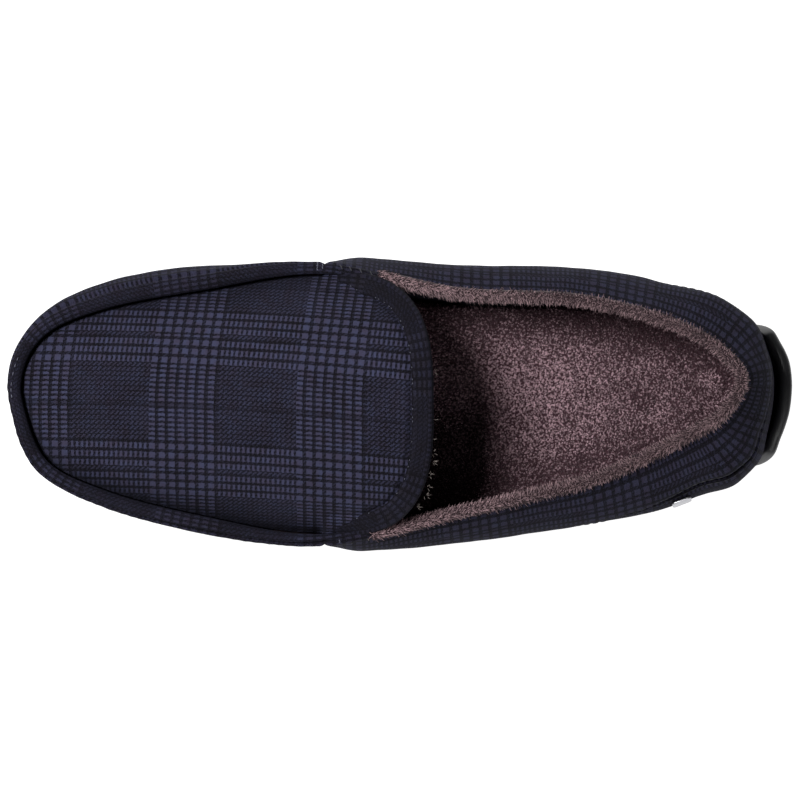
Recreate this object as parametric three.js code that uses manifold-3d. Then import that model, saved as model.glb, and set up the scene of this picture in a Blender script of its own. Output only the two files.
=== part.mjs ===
// Men's moccasin slipper, the left one, about EU 42. Lengths are in millimetres.
// The toe points to -X, the medial side is +Y, and the shoe stands on z = 0.
// A place around the shoe is a turn in degrees: 0 at the toe, 90 on the medial side, 180 at the heel.
// A place up the side wall is a share of its height: 0 at the sole, 1 at the top edge.

import * as THREE from 'three';
import { mergeVertices } from 'three/addons/utils/BufferGeometryUtils.js';
import Module from 'manifold-3d';

const wasm = await Module();
wasm.setup();

// Driving dimensions of the last
const lastLength = 282.6; // toe roll to the cloth at the back of the heel
const ballWidth = 108; // across the ball, over the side wall
const heelHeight = 66; // top edge of the quarter at the back of the heel
const instepHeight = 75; // top of the tongue, at its rear edge

// Cloth pieces
const wallThickness = 2.2; // outer cloth, foam and lining together
const rollWidth = 6.6; // the gathered seam roll, at its widest
const rollFade = 0.3; // share of the wall height in which the roll thins to the wall
const collarPuff = 2.4; // how far the padded collar stands out
const plugThickness = 2.4;
const plugCrown = 2.3; // power of the plug's arch across the foot
const plugDrop = 0.7; // how far the plug's edge lies below the middle of the roll
const tongueLength = 39.4; // plug beyond the side tacks
const tongueLift = 9; // rise of the tongue's side edges over that length
const tongueRound = 3; // power of the rounded rear edge of the tongue
const tackTurn = 80; // where roll and plug end and the quarters begin
const tackSpread = 6; // degrees over which the roll gives way to the quarter
const puffFullness = 0.8; // power of the padded collar's curve: lower is fuller
const bindingReach = 4.4; // folded binding strip, from the edge inwards
const bindingThickness = 1.1;
const bindingNose = 0.55; // how full the fold's nose is, share of its half height
const plushThickness = 1.2; // fleece lining turned over the top edge
const plushOutside = 1.2; // how far the fleece comes down outside
const paddingGap = 1.4; // where the padding ends below the top edge, share of plushOutside
const plushInside = 9; // how far the fleece goes down inside
const counterThickness = 1.2; // cloth counter sewn around the heel
const counterSpread = 65; // degrees to either side of the heel's middle
const counterFoot = 0.06; // its lower edge, share of the wall height
const counterEnd = 2; // degrees past the counter where the rubber starts to close in
const counterFade = 12; // degrees over which it closes in
const seamAllowance = 0.015; // room below the padded collar, share of the wall height

// Rubber sole
const soleThickness = 8; // below the heel and the ball
const toeSpring = 6.5; // height of the sole's tip above the floor
const archLift = 2.6; // height of the waist above the floor
const heelLift = 1.6; // bevel below the back of the heel
const rubberWall = 2.3; // side wall of the moulded sole
const lipBulge = 1.1; // rolled lip along the top of the heel cup
const lipFrom = 0.55; // share of the cup's height at which the lip starts to swell
const lipFull = 0.9; // and at which it is full
const heelFlare = 3.1; // how far the cup's top stands off the cloth
const cupSpread = 15; // degrees to either side of the heel's middle with a full cup
const cupStep = 5; // degrees over which it drops to the plain side
const flareFade = 20; // degrees past the full cup where the flare has gone
const sideHeight = 0.08; // top of the plain rubber side at the heel, share of the wall height
const edgeBevel = 1.3; // bevel around the tread
const sideGroove = 0.8; // depth of the step around the sole's side
const treadDepth = 1.9;
const treadWidth = 2.6; // one groove
const treadPitch = 8.4;
const treadRim = 7; // plain rim around the tread
const treadAngle = 0.32; // slope of the chevron arms
const treadZones = [[0.13, 0.43], [0.7, 0.9]]; // grooved parts, shares of lastLength
const toothRadius = 0.85; // grip teeth at the outer back of the heel
const toothPitch = 2.35;
const toothCount = 9;
const toothHeight = 9;
const toothStart = 184; // turn of the first tooth
const toothRise = 0.45; // height of the teeth, share of the cup's height
const toothSink = 0.2; // how far a tooth stands in the rubber, share of its radius
const heelRoundness = 0.42; // radius of the heel's back, share of half of lastLength

// Insole and trim
const insoleThickness = 5;
const insoleCup = 1.2; // rise of the footbed towards its rim
const insoleRound = 1.4; // width of its rounded edge
const insoleEdge = 1; // height of its rounded edge
const studLength = 7.5;
const studWidth = 5.5;
const studThickness = 0.7;
const studCorner = 1.2;
const studBevel = 0.25;
const studTurn = 220;
const studRise = 0.48; // share of the wall height

const clearance = 0.3; // between pieces that meet
const plugGap = 1.3 * clearance; // beside the roll, where facets cut across the curve
const stations = 36; // from toe to heel along each side
const around = 2 * stations;
const edgeSteps = 4; // facets over the wall's rounded top edge

// Sections through the side wall, one for every twenty degrees of turn.
// across: half breadth at the widest place, share of ballWidth, medial above zero
// tuck:   how far the foot of the wall lies inside the widest place, share of ballWidth
// belly:  height of the widest place, share of the wall height
// rise:   height of the top edge, share of heelHeight
// lean:   how far the top edge lies inside the widest place, share of ballWidth
// bead:   half width of the top edge, share of half of rollWidth
// seam:   top of the counter, share of the wall height
// cup:    top of the rubber side, share of the wall height
const sections = [
  { turn: 0, across: 0.061, tuck: 0.055, belly: 0.90, rise: 0.530, lean: 0.000, bead: 0.72, seam: 0.0, cup: 0.15 },
  { turn: 20, across: 0.277, tuck: 0.058, belly: 0.80, rise: 0.530, lean: 0.006, bead: 0.80, seam: 0.0, cup: 0.13 },
  { turn: 40, across: 0.412, tuck: 0.062, belly: 0.55, rise: 0.540, lean: 0.028, bead: 0.88, seam: 0.0, cup: 0.10 },
  { turn: 60, across: 0.484, tuck: 0.062, belly: 0.45, rise: 0.575, lean: 0.030, bead: 0.90, seam: 0.0, cup: 0.08 },
  { turn: 80, across: 0.501, tuck: 0.070, belly: 0.42, rise: 0.640, lean: 0.006, bead: 0.62, seam: 0.0, cup: 0.07 },
  { turn: 100, across: 0.470, tuck: 0.095, belly: 0.38, rise: 0.740, lean: 0.075, bead: 0.36, seam: 0.0, cup: 0.07 },
  { turn: 120, across: 0.460, tuck: 0.090, belly: 0.35, rise: 0.790, lean: 0.090, bead: 0.34, seam: 0.16, cup: 0.08 },
  { turn: 140, across: 0.392, tuck: 0.085, belly: 0.32, rise: 0.870, lean: 0.110, bead: 0.34, seam: 0.38, cup: 0.10 },
  { turn: 160, across: 0.256, tuck: 0.062, belly: 0.33, rise: 0.955, lean: 0.110, bead: 0.34, seam: 0.53, cup: 0.27 },
  { turn: 180, across: 0.077, tuck: 0.022, belly: 0.36, rise: 1.000, lean: 0.108, bead: 0.34, seam: 0.60, cup: 0.36 },
  { turn: 200, across: -0.170, tuck: 0.060, belly: 0.33, rise: 0.950, lean: 0.180, bead: 0.34, seam: 0.62, cup: 0.27 },
  { turn: 220, across: -0.316, tuck: 0.085, belly: 0.30, rise: 0.860, lean: 0.190, bead: 0.34, seam: 0.60, cup: 0.10 },
  { turn: 240, across: -0.393, tuck: 0.085, belly: 0.32, rise: 0.780, lean: 0.125, bead: 0.34, seam: 0.34, cup: 0.08 },
  { turn: 260, across: -0.456, tuck: 0.080, belly: 0.40, rise: 0.735, lean: 0.080, bead: 0.36, seam: 0.0, cup: 0.07 },
  { turn: 280, across: -0.486, tuck: 0.062, belly: 0.65, rise: 0.635, lean: 0.006, bead: 0.62, seam: 0.0, cup: 0.07 },
  { turn: 300, across: -0.441, tuck: 0.060, belly: 0.80, rise: 0.570, lean: 0.002, bead: 0.92, seam: 0.0, cup: 0.08 },
  { turn: 320, across: -0.345, tuck: 0.060, belly: 0.88, rise: 0.540, lean: 0.000, bead: 0.86, seam: 0.0, cup: 0.10 },
  { turn: 340, across: -0.210, tuck: 0.058, belly: 0.90, rise: 0.530, lean: 0.000, bead: 0.78, seam: 0.0, cup: 0.13 },
];
const sectionStep = 360 / sections.length;

// The plug's ridge from its toe edge to the end of the tongue.
// at: share of the plug's length; height: share of the way from the toe edge up to instepHeight
const ridge = [
  { at: 0.00, height: 0.00 },
  { at: 0.05, height: 0.15 },
  { at: 0.14, height: 0.29 },
  { at: 0.30, height: 0.45 },
  { at: 0.50, height: 0.62 },
  { at: 0.75, height: 0.83 },
  { at: 1.00, height: 1.00 },
];

// The underside of the sole from toe to heel, along the last's length.
// at: share of lastLength; spring, arch, back: shares of toeSpring, archLift and heelLift
const underside = [
  { at: 0.00, spring: 1.00, arch: 0.0, back: 0.0 },
  { at: 0.08, spring: 0.52, arch: 0.0, back: 0.0 },
  { at: 0.16, spring: 0.16, arch: 0.0, back: 0.0 },
  { at: 0.24, spring: 0.00, arch: 0.0, back: 0.0 },
  { at: 0.42, spring: 0.00, arch: 0.0, back: 0.0 },
  { at: 0.50, spring: 0.00, arch: 0.7, back: 0.0 },
  { at: 0.58, spring: 0.00, arch: 1.0, back: 0.0 },
  { at: 0.66, spring: 0.00, arch: 0.6, back: 0.0 },
  { at: 0.72, spring: 0.00, arch: 0.0, back: 0.0 },
  { at: 0.92, spring: 0.00, arch: 0.0, back: 0.0 },
  { at: 1.00, spring: 0.00, arch: 0.0, back: 1.0 },
];

const radians = THREE.MathUtils.degToRad;
const mix = THREE.MathUtils.lerp;
const smoothstep = THREE.MathUtils.smoothstep;

// A value between rows that are evenly spaced around a ring
function ringValue(column, turn) {
  const place = ((turn % 360) + 360) % 360 / sectionStep;
  const first = Math.floor(place);
  const share = place - first;
  const count = sections.length;
  const rows = [-1, 0, 1, 2].map((step) => sections[(first + step + count) % count][column]);
  const slopeIn = (rows[2] - rows[0]) / 2;
  const slopeOut = (rows[3] - rows[1]) / 2;
  const square = share * share;
  const cube = square * share;
  return (2 * cube - 3 * square + 1) * rows[1] + (cube - 2 * square + share) * slopeIn
    + (3 * square - 2 * cube) * rows[2] + (cube - square) * slopeOut;
}

// A value between the rows of a table, with smooth passages that never overshoot
function tableValue(rows, column, at) {
  const last = rows.length - 1;
  if (at <= rows[0].at) return rows[0][column];
  if (at >= rows[last].at) return rows[last][column];
  const next = rows.findIndex((row) => row.at > at);
  const slope = (i) => {
    if (i === 0) return (rows[1][column] - rows[0][column]) / (rows[1].at - rows[0].at);
    if (i === last) return (rows[last][column] - rows[last - 1][column]) / (rows[last].at - rows[last - 1].at);
    const before = (rows[i][column] - rows[i - 1][column]) / (rows[i].at - rows[i - 1].at);
    const after = (rows[i + 1][column] - rows[i][column]) / (rows[i + 1].at - rows[i].at);
    return before * after <= 0 ? 0 : 2 * before * after / (before + after);
  };
  const from = rows[next - 1];
  const to = rows[next];
  const width = to.at - from.at;
  const share = (at - from.at) / width;
  const square = share * share;
  const cube = square * share;
  return (2 * cube - 3 * square + 1) * from[column] + (cube - 2 * square + share) * slope(next - 1) * width
    + (3 * square - 2 * cube) * to[column] + (cube - square) * slope(next) * width;
}

// Underside and top of the sole at a distance from the toe
function soleBottom(x) {
  const at = x / lastLength;
  return tableValue(underside, 'spring', at) * toeSpring + tableValue(underside, 'arch', at) * archLift
    + tableValue(underside, 'back', at) * heelLift;
}

function soleTop(x) {
  const at = THREE.MathUtils.clamp(x / lastLength, 0, 1);
  return soleThickness + tableValue(underside, 'spring', at) * toeSpring
    + tableValue(underside, 'arch', at) * archLift;
}

// The widest line of the wall, seen from above
function outline(turn) {
  const x = lastLength * (1 - Math.cos(radians(turn))) / 2;
  return new THREE.Vector3(x, ringValue('across', turn) * ballWidth, 0);
}

function outward(turn) {
  const step = 0.5;
  const along = outline(turn + step).sub(outline(turn - step));
  return new THREE.Vector3(-along.y, along.x, 0).normalize();
}

// The wall's outer surface without its padding
function wallSurface(turn, height) {
  const belly = ringValue('belly', turn);
  const plan = outline(turn);
  const below = Math.max(0, (belly - height) / belly);
  const above = Math.max(0, (height - belly) / (1 - belly));
  const inset = ringValue('tuck', turn) * below * below + ringValue('lean', turn) * above * above;
  const foot = soleTop(plan.x) + clearance;
  const point = plan.addScaledVector(outward(turn), -inset * ballWidth);
  point.z = mix(foot, ringValue('rise', turn) * heelHeight, height);
  return point;
}

// Directions on the wall: along it, up it and out of it
function wallFrame(turn, height) {
  const step = 0.01;
  const up = wallSurface(turn, height + step).sub(wallSurface(turn, height - step)).normalize();
  const along = wallSurface(turn + 1, height).sub(wallSurface(turn - 1, height)).normalize();
  const out = new THREE.Vector3().crossVectors(up, along).normalize();
  return { up, along, out };
}

function wallOffset(turn, height, distance) {
  return wallSurface(turn, height).addScaledVector(wallFrame(turn, height).out, distance);
}

function beadRadius(turn) {
  return ringValue('bead', turn) * rollWidth / 2;
}

// 0 beside the roll and 1 beside the quarters
function quarterShare(turn) {
  const fromToe = Math.min(turn, 360 - turn);
  return smoothstep(fromToe, tackTurn, tackTurn + tackSpread);
}

// Share of the wall height that lies a distance below the top edge
function heightBelowTop(turn, distance) {
  const foot = wallSurface(turn, 0).z;
  const top = wallSurface(turn, 1).z;
  return 1 - distance / (top - foot);
}

// Rows of the counter, from its foot to the seam
function counterHeights(turn) {
  return steps(3, counterFoot, seamHeight(turn) - seamAllowance);
}

// Where the padding ends, just below the edge of the plush
function paddingEnd(turn) {
  return heightBelowTop(turn, paddingGap * plushOutside);
}

// The seam between counter and padded collar
function seamHeight(turn) {
  return Math.max(2 * counterFoot, ringValue('seam', turn));
}

// Padding between the counter's seam and the plush
function padding(turn, height) {
  const seam = seamHeight(turn);
  const share = THREE.MathUtils.clamp((height - seam) / (paddingEnd(turn) - seam), 0, 1);
  return collarPuff * quarterShare(turn) * Math.sin(Math.PI * Math.sqrt(share)) ** puffFullness;
}

// Wall thickness: the roll or the collar's edge thins to the plain wall below it
function thickness(turn, height) {
  return mix(wallThickness, 2 * beadRadius(turn), smoothstep(height, 1 - rollFade, 1));
}

function cornerKey(point) {
  return `${point.x.toFixed(5)} ${point.y.toFixed(5)} ${point.z.toFixed(5)}`;
}

// Grids of points joined to one closed surface; corners that coincide become one
class Surface {
  constructor() {
    this.corners = [];
    this.faces = [];
    this.known = new Map();
  }

  corner(point) {
    const key = cornerKey(point);
    if (!this.known.has(key)) {
      this.known.set(key, this.corners.length);
      this.corners.push(point);
    }
    return this.known.get(key);
  }

  triangle(a, b, c) {
    const face = [this.corner(a), this.corner(b), this.corner(c)];
    if (new Set(face).size === 3) this.faces.push(face);
  }

  quad(a, b, c, d) {
    this.triangle(a, b, c);
    this.triangle(a, c, d);
  }

  // Rows of points; the faces look along (next row) x (next column)
  grid(rows, flipped = false) {
    for (let i = 0; i + 1 < rows.length; i += 1) {
      for (let j = 0; j + 1 < rows[i].length; j += 1) {
        const [a, b, c, d] = [rows[i][j], rows[i + 1][j], rows[i + 1][j + 1], rows[i][j + 1]];
        if (flipped) this.quad(a, d, c, b);
        else this.quad(a, b, c, d);
      }
    }
  }

  geometry() {
    const geometry = new THREE.BufferGeometry();
    const positions = this.corners.flatMap((point) => [point.x, point.y, point.z]);
    geometry.setAttribute('position', new THREE.Float32BufferAttribute(positions, 3));
    geometry.setIndex(this.faces.flat());
    return geometry;
  }
}

// A sheet with thickness: a front grid that looks along (next row) x (next column), a back grid
// behind it, and the four edges between them
function sheet(front, back) {
  const surface = new Surface();
  surface.grid(front);
  surface.grid(back, true);
  const lastRow = front.length - 1;
  const lastColumn = front[0].length - 1;
  surface.grid([back[0], front[0]]);
  surface.grid([front[lastRow], back[lastRow]]);
  surface.grid([front.map((row) => row[0]), back.map((row) => row[0])]);
  surface.grid([back.map((row) => row[lastColumn]), front.map((row) => row[lastColumn])]);
  return surface.geometry();
}

// A closed ring of sections, each a closed loop of points
function ring(loops) {
  const surface = new Surface();
  surface.grid([...loops, loops[0]].map((loop) => [...loop, loop[0]]), true);
  return surface.geometry();
}

function toManifold(geometry) {
  const clean = geometry.clone();
  clean.deleteAttribute('normal');
  clean.deleteAttribute('uv');
  const merged = mergeVertices(clean, 1e-5);
  return new wasm.Manifold(new wasm.Mesh({
    numProp: 3,
    vertProperties: new Float32Array(merged.attributes.position.array),
    triVerts: new Uint32Array(merged.index.array),
  }));
}

function fromManifold(solid) {
  const mesh = solid.getMesh();
  const geometry = new THREE.BufferGeometry();
  geometry.setAttribute('position', new THREE.BufferAttribute(new Float32Array(mesh.vertProperties), 3));
  geometry.setIndex(new THREE.BufferAttribute(new Uint32Array(mesh.triVerts), 1));
  return geometry;
}

function steps(count, from, to) {
  return Array.from({ length: count + 1 }, (_, i) => mix(from, to, i / count));
}

const turns = steps(around, 0, 360).slice(0, around);

// The stations that lie between two turns, so that layered pieces share their facets
function turnsBetween(from, to) {
  return turns.filter((turn) => turn >= from && turn <= to);
}

// Upper: side band and quarters as one wall, with the seam roll and the padded collar in it
function upperGeometry() {
  const loops = turns.map((turn) => {
    const seam = seamHeight(turn);
    const insideHeights = [...steps(3, 0, heightBelowTop(turn, plushInside)),
      heightBelowTop(turn, plushInside / 2), 1];
    const heights = [0, ...counterHeights(turn), ...steps(6, seam, paddingEnd(turn)), 1];
    const radius = beadRadius(turn);
    const top = wallFrame(turn, 1);
    const middle = wallOffset(turn, 1, -radius);
    const outside = heights.map((height) => wallOffset(turn, height, padding(turn, height)));
    const over = steps(edgeSteps, 0, Math.PI).slice(1, edgeSteps).map((angle) => middle.clone()
      .addScaledVector(top.out, radius * Math.cos(angle))
      .addScaledVector(top.up, radius * Math.sin(angle)));
    const inside = insideHeights.map((height) => wallOffset(turn, height, -thickness(turn, height)));
    return [...outside, ...over, ...inside.reverse()];
  });
  return ring(loops);
}

// The plug's edge beside the roll
function plugEdge(turn) {
  const frame = wallFrame(turn, 1);
  return wallSurface(turn, 1).addScaledVector(frame.out, -(2 * beadRadius(turn) + plugGap))
    .addScaledVector(frame.up, -plugDrop);
}

const plugTip = plugEdge(0);
const tackMedial = plugEdge(tackTurn);
const tackLateral = plugEdge(-tackTurn);
const plugLength = (tackMedial.x + tackLateral.x) / 2 + tongueLength - plugTip.x;

function ridgeHeight(x) {
  return mix(plugTip.z, instepHeight, tableValue(ridge, 'height', (x - plugTip.x) / plugLength));
}

// A point of the plug between two edge points; across runs from -1 on the lateral to 1 on the medial side
function arch(lateral, medial, across) {
  const point = lateral.clone().lerp(medial, (across + 1) / 2);
  point.z = mix(point.z, Math.max(point.z, ridgeHeight(point.x)), 1 - Math.abs(across) ** plugCrown);
  return point;
}

// The tongue's surface above any point behind the tacks
function tongueSurface(x, y) {
  const across = THREE.MathUtils.clamp((y - tackLateral.y) / (tackMedial.y - tackLateral.y), 0, 1) * 2 - 1;
  const tack = tackLateral.clone().lerp(tackMedial, (across + 1) / 2);
  const edge = tack.z + tongueLift * (x - tack.x) / tongueLength;
  return new THREE.Vector3(x, y, mix(edge, ridgeHeight(x), 1 - Math.abs(across) ** plugCrown));
}

// The tongue's free edge, seen from above
function tongueEdge(across) {
  const tack = tackLateral.clone().lerp(tackMedial, (across + 1) / 2);
  const reach = (1 - Math.abs(across) ** tongueRound) ** (1 / tongueRound);
  return new THREE.Vector3(tack.x + tongueLength * reach, tack.y, 0);
}

const plugStep = 11.25; // degrees between the plug's columns, which crowd towards its sides
const plugColumns = steps(180 / plugStep, -90, 90).map((angle) => Math.sin(radians(angle)));

// Plug: the arched top panel, with the tongue that runs back from it
function plugGeometry() {
  const front = [...turnsBetween(0, tackTurn - 1), tackTurn].map((turn) => {
    const medial = plugEdge(turn);
    const lateral = plugEdge(-turn);
    return plugColumns.map((across) => arch(lateral, medial, across));
  });
  const tongue = steps(6, 0, 1).slice(1).map((share) => plugColumns.map((across) => {
    const tack = tackLateral.clone().lerp(tackMedial, (across + 1) / 2);
    return tongueSurface(mix(tack.x, tongueEdge(across).x, share), tack.y);
  }));
  const upside = [...front, ...tongue];
  const downside = upside.map((row) => row.map((point) => point.clone().setZ(point.z - plugThickness)));
  return sheet(upside, downside);
}

// Sections of the binding: the strip folded around the tongue's edge.
// extra widens the fold outwards, and omitted is how many half steps are left out at each end
function bindingSections(extra, omitted) {
  const reach = 90 - omitted * plugStep / 2;
  const places = steps(4 * reach / plugStep, -reach, reach).map((angle) => Math.sin(radians(angle)));
  return places.map((across) => {
    const step = 0.004;
    const from = tongueEdge(Math.max(-1, across - step));
    const to = tongueEdge(Math.min(1, across + step));
    const along = to.sub(from).normalize();
    const out = new THREE.Vector3(along.y, -along.x, 0);
    const edge = tongueEdge(across);
    const onTongue = (inwards, rise) => {
      const plan = edge.clone().addScaledVector(out, -inwards);
      const point = tongueSurface(plan.x, plan.y);
      return point.setZ(point.z + rise);
    };
    const fold = (distance) => {
      const high = distance;
      const low = -plugThickness - distance;
      const middle = (high + low) / 2;
      const nose = onTongue(0, middle).addScaledVector(out, distance);
      return [
        onTongue(bindingReach, high),
        onTongue(bindingReach / 2, high),
        onTongue(0, high),
        nose.clone().setZ(mix(nose.z, onTongue(0, high).z, bindingNose)),
        nose.clone().setZ(mix(nose.z, onTongue(0, low).z, bindingNose)),
        onTongue(0, low),
        onTongue(bindingReach / 2, low),
        onTongue(bindingReach, low),
      ];
    };
    return { outer: fold(clearance + bindingThickness + extra), inner: fold(clearance) };
  });
}

function bindingGeometry() {
  const sectionsAlong = bindingSections(0, 1);
  return sheet(sectionsAlong.map((one) => one.inner), sectionsAlong.map((one) => one.outer));
}

// The room that tongue and binding need in the pieces around them
function tongueRoom() {
  const loops = bindingSections(clearance, 0.4).map((one) => one.outer);
  const surface = new Surface();
  surface.grid(loops.map((loop) => [...loop, loop[0]]), true);
  const cap = (loop, flipped) => {
    const last = loop.length - 1;
    for (let i = 0; i < last - i - 1; i += 1) {
      const corners = [loop[i], loop[i + 1], loop[last - i - 1], loop[last - i]];
      if (flipped) corners.reverse();
      surface.quad(...corners);
    }
  };
  cap(loops[0], true);
  cap(loops[loops.length - 1], false);
  return surface.geometry();
}

// Plush collar: the fleece lining turned over the top edge from tack to tack
function plushGeometry() {
  const spread = turnsBetween(tackTurn + 3, 357 - tackTurn);
  const fold = (turn, distance) => {
    const radius = beadRadius(turn);
    const top = wallFrame(turn, 1);
    const middle = wallOffset(turn, 1, -radius);
    const arc = steps(edgeSteps, 0, Math.PI).map((angle) => middle.clone()
      .addScaledVector(top.out, (radius + distance) * Math.cos(angle))
      .addScaledVector(top.up, (radius + distance) * Math.sin(angle)));
    const outside = wallOffset(turn, heightBelowTop(turn, plushOutside), distance);
    const inside = steps(2, 0, plushInside).slice(1).map((depth) => {
      const height = heightBelowTop(turn, depth);
      return wallOffset(turn, height, -thickness(turn, height) - distance);
    });
    return [outside, ...arc, ...inside];
  };
  const outer = spread.map((turn) => fold(turn, clearance + plushThickness));
  const inner = spread.map((turn) => fold(turn, clearance));
  return sheet(inner, outer);
}

// Counter: the cloth panel sewn around the heel, up to the double seam
function counterGeometry() {
  const spread = turnsBetween(180 - counterSpread, 180 + counterSpread);
  const skin = (distance) => spread.map((turn) => counterHeights(turn)
    .map((height) => wallOffset(turn, height, distance)));
  return sheet(skin(clearance), skin(clearance + counterThickness));
}

// 1 behind the heel, where the cup stands full, and 0 beside it
function cupShare(turn) {
  return 1 - smoothstep(Math.abs(turn - 180), cupSpread, cupSpread + cupStep);
}

// Top of the rubber side, share of the wall height
function cupHeight(turn) {
  const height = ringValue('cup', turn);
  if (Math.abs(turn - 180) > 90) return height;
  return mix(Math.min(height, sideHeight), height, cupShare(turn));
}

// How far the inside of the rubber stands off the upper at a share of the cup's height:
// past the counter at the heel, and flared towards the cup's top
function cupDistance(turn, share = 0) {
  const fromHeel = Math.abs(turn - 180);
  const pastCounter = fromHeel - counterSpread;
  const behind = 1 - smoothstep(pastCounter, counterEnd, counterEnd + counterFade);
  const flared = 1 - smoothstep(fromHeel, cupSpread + cupStep, cupSpread + flareFade);
  return clearance + behind * (counterThickness + clearance) + heelFlare * flared * share ** 2;
}

// A point of the sole's side, at a distance outside the foot of the wall
function soleSide(turn, distance, z) {
  const point = wallSurface(turn, 0).addScaledVector(outward(turn), distance);
  return point.setZ(z);
}

// Rows between the two ends of a loop, from its toe point to its heel point
function discRows(loop, columns, heightAt) {
  const rows = [];
  for (let i = 0; i <= stations; i += 1) {
    const medial = loop[i];
    const lateral = loop[(around - i) % around];
    rows.push(steps(columns, 0, 1).map((share) => {
      if (share === 0) return lateral.clone();
      if (share === 1) return medial.clone();
      const point = lateral.clone().lerp(medial, share);
      return point.setZ(heightAt(point, share));
    }));
  }
  return rows;
}

// The sole's side from the tread up: share of its height, and how far it lies inside the outline
const sideRows = [
  [0, edgeBevel],
  [0.16, 0],
  [0.42, 0],
  [0.5, sideGroove],
  [0.62, sideGroove],
  [0.7, 0],
];

// Outsole: tread, stepped side and heel cup in one moulding
function outsoleBlank() {
  const cupSteps = 4;
  const loops = turns.map((turn) => {
    const inside = cupDistance(turn);
    const outside = inside + rubberWall;
    const x = wallSurface(turn, 0).x;
    const bottom = soleBottom(x);
    const top = soleTop(x);
    const level = (share) => mix(bottom, top, share);
    const height = cupHeight(turn);
    const side = sideRows.map(([share, inset]) => soleSide(turn, outside - inset, level(share)));
    const wall = steps(cupSteps, 0, 1).map((share) => {
      const lip = lipBulge * smoothstep(share, lipFrom, lipFull) * cupShare(turn);
      return wallOffset(turn, share * height, cupDistance(turn, share) + rubberWall + lip);
    });
    const rim = wallOffset(turn, height, cupDistance(turn, 1) + rubberWall / 2)
      .addScaledVector(wallFrame(turn, height).up, rubberWall / 2);
    const inner = [height, ...counterHeights(turn).reverse(), 0].map((low) => {
      const reached = Math.min(low, height);
      return wallOffset(turn, reached, cupDistance(turn, reached / height));
    });
    return [...side, ...wall, rim, ...inner, soleSide(turn, inside, top)].reverse();
  });
  const surface = new Surface();
  surface.grid([...loops, loops[0]]);
  const topLoop = loops.map((loop) => loop[0]);
  const bottomLoop = loops.map((loop) => loop[loop.length - 1]);
  surface.grid(discRows(bottomLoop, 2, (point) => soleBottom(point.x)), true);
  surface.grid(discRows(topLoop, 2, (point) => soleTop(point.x)));
  return surface.geometry();
}

// Half breadths of the tread at a distance from the toe
function treadSides(x) {
  const turn = THREE.MathUtils.radToDeg(Math.acos(THREE.MathUtils.clamp(1 - 2 * x / lastLength, -1, 1)));
  return { medial: soleSide(turn, 0, 0).y - treadRim, lateral: soleSide(-turn, 0, 0).y + treadRim };
}

// One chevron groove in the tread
function treadGroove(x) {
  const { medial, lateral } = treadSides(x);
  const middle = (medial + lateral) / 2;
  const slope = treadAngle * (medial - lateral) / 2;
  const shape = new THREE.Shape([
    new THREE.Vector2(x + slope, medial),
    new THREE.Vector2(x, middle),
    new THREE.Vector2(x + slope, lateral),
    new THREE.Vector2(x + slope + treadWidth, lateral),
    new THREE.Vector2(x + treadWidth, middle),
    new THREE.Vector2(x + slope + treadWidth, medial),
  ]);
  const floor = soleBottom(x + slope / 2);
  const below = soleThickness;
  const geometry = new THREE.ExtrudeGeometry(shape, { depth: treadDepth + below, bevelEnabled: false });
  return geometry.translate(0, 0, floor - below);
}

// One grip tooth standing on the outside of the heel cup
function tooth(turn) {
  const geometry = new THREE.CylinderGeometry(toothRadius, toothRadius, toothHeight, 8);
  geometry.rotateX(Math.PI / 2);
  const side = cupDistance(turn, toothRise) + rubberWall;
  const place = wallOffset(turn, cupHeight(turn) * toothRise, side - toothRadius * toothSink);
  return geometry.translate(place.x, place.y, place.z);
}

function outsoleGeometry() {
  let solid = toManifold(outsoleBlank());
  treadZones.forEach(([from, to]) => {
    const count = Math.floor((to - from) * lastLength / treadPitch);
    for (let i = 0; i < count; i += 1) {
      solid = solid.subtract(toManifold(treadGroove(from * lastLength + i * treadPitch)));
    }
  });
  const heelReach = outline(180).x - lastLength / 2;
  const toothTurn = THREE.MathUtils.radToDeg(toothPitch / (heelReach * heelRoundness));
  for (let i = 0; i < toothCount; i += 1) {
    solid = solid.add(toManifold(tooth(toothStart + i * toothTurn)));
  }
  return fromManifold(solid);
}

// Insole: the padded footbed that lies on the sole inside the wall
function insoleGeometry() {
  const inset = wallThickness + clearance;
  const foot = (turn) => soleTop(wallSurface(turn, 0).x) + clearance;
  const low = turns.map((turn) => soleSide(turn, -inset, foot(turn)));
  const high = turns.map((turn) => soleSide(turn, -inset, foot(turn) + insoleThickness - insoleEdge));
  const crest = turns.map((turn) => soleSide(turn, -inset - insoleRound, foot(turn) + insoleThickness));
  const surface = new Surface();
  const loops = turns.map((turn, i) => [low[i], high[i], crest[i]]);
  surface.grid([...loops, loops[0]], true);
  surface.grid(discRows(low, 2, (point) => soleTop(point.x) + clearance), true);
  surface.grid(discRows(crest, 6, (point, share) => soleTop(point.x) + clearance + insoleThickness
    - insoleCup * Math.sin(Math.PI * share)));
  return surface.geometry();
}

// Stud: a small plain metal plate on the counter
function studGeometry() {
  const corner = studCorner;
  const bevel = studBevel;
  const halfLength = studLength / 2 - bevel;
  const halfWidth = studWidth / 2 - bevel;
  const shape = new THREE.Shape();
  shape.absarc(halfLength - corner, halfWidth - corner, corner, 0, Math.PI / 2);
  shape.absarc(corner - halfLength, halfWidth - corner, corner, Math.PI / 2, Math.PI);
  shape.absarc(corner - halfLength, corner - halfWidth, corner, Math.PI, Math.PI * 1.5);
  shape.absarc(halfLength - corner, corner - halfWidth, corner, Math.PI * 1.5, Math.PI * 2);
  const geometry = new THREE.ExtrudeGeometry(shape, {
    depth: studThickness - 2 * bevel,
    bevelThickness: bevel,
    bevelSize: bevel,
    bevelSegments: 1,
    curveSegments: 3,
  });
  return geometry.translate(0, 0, bevel);
}

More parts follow.
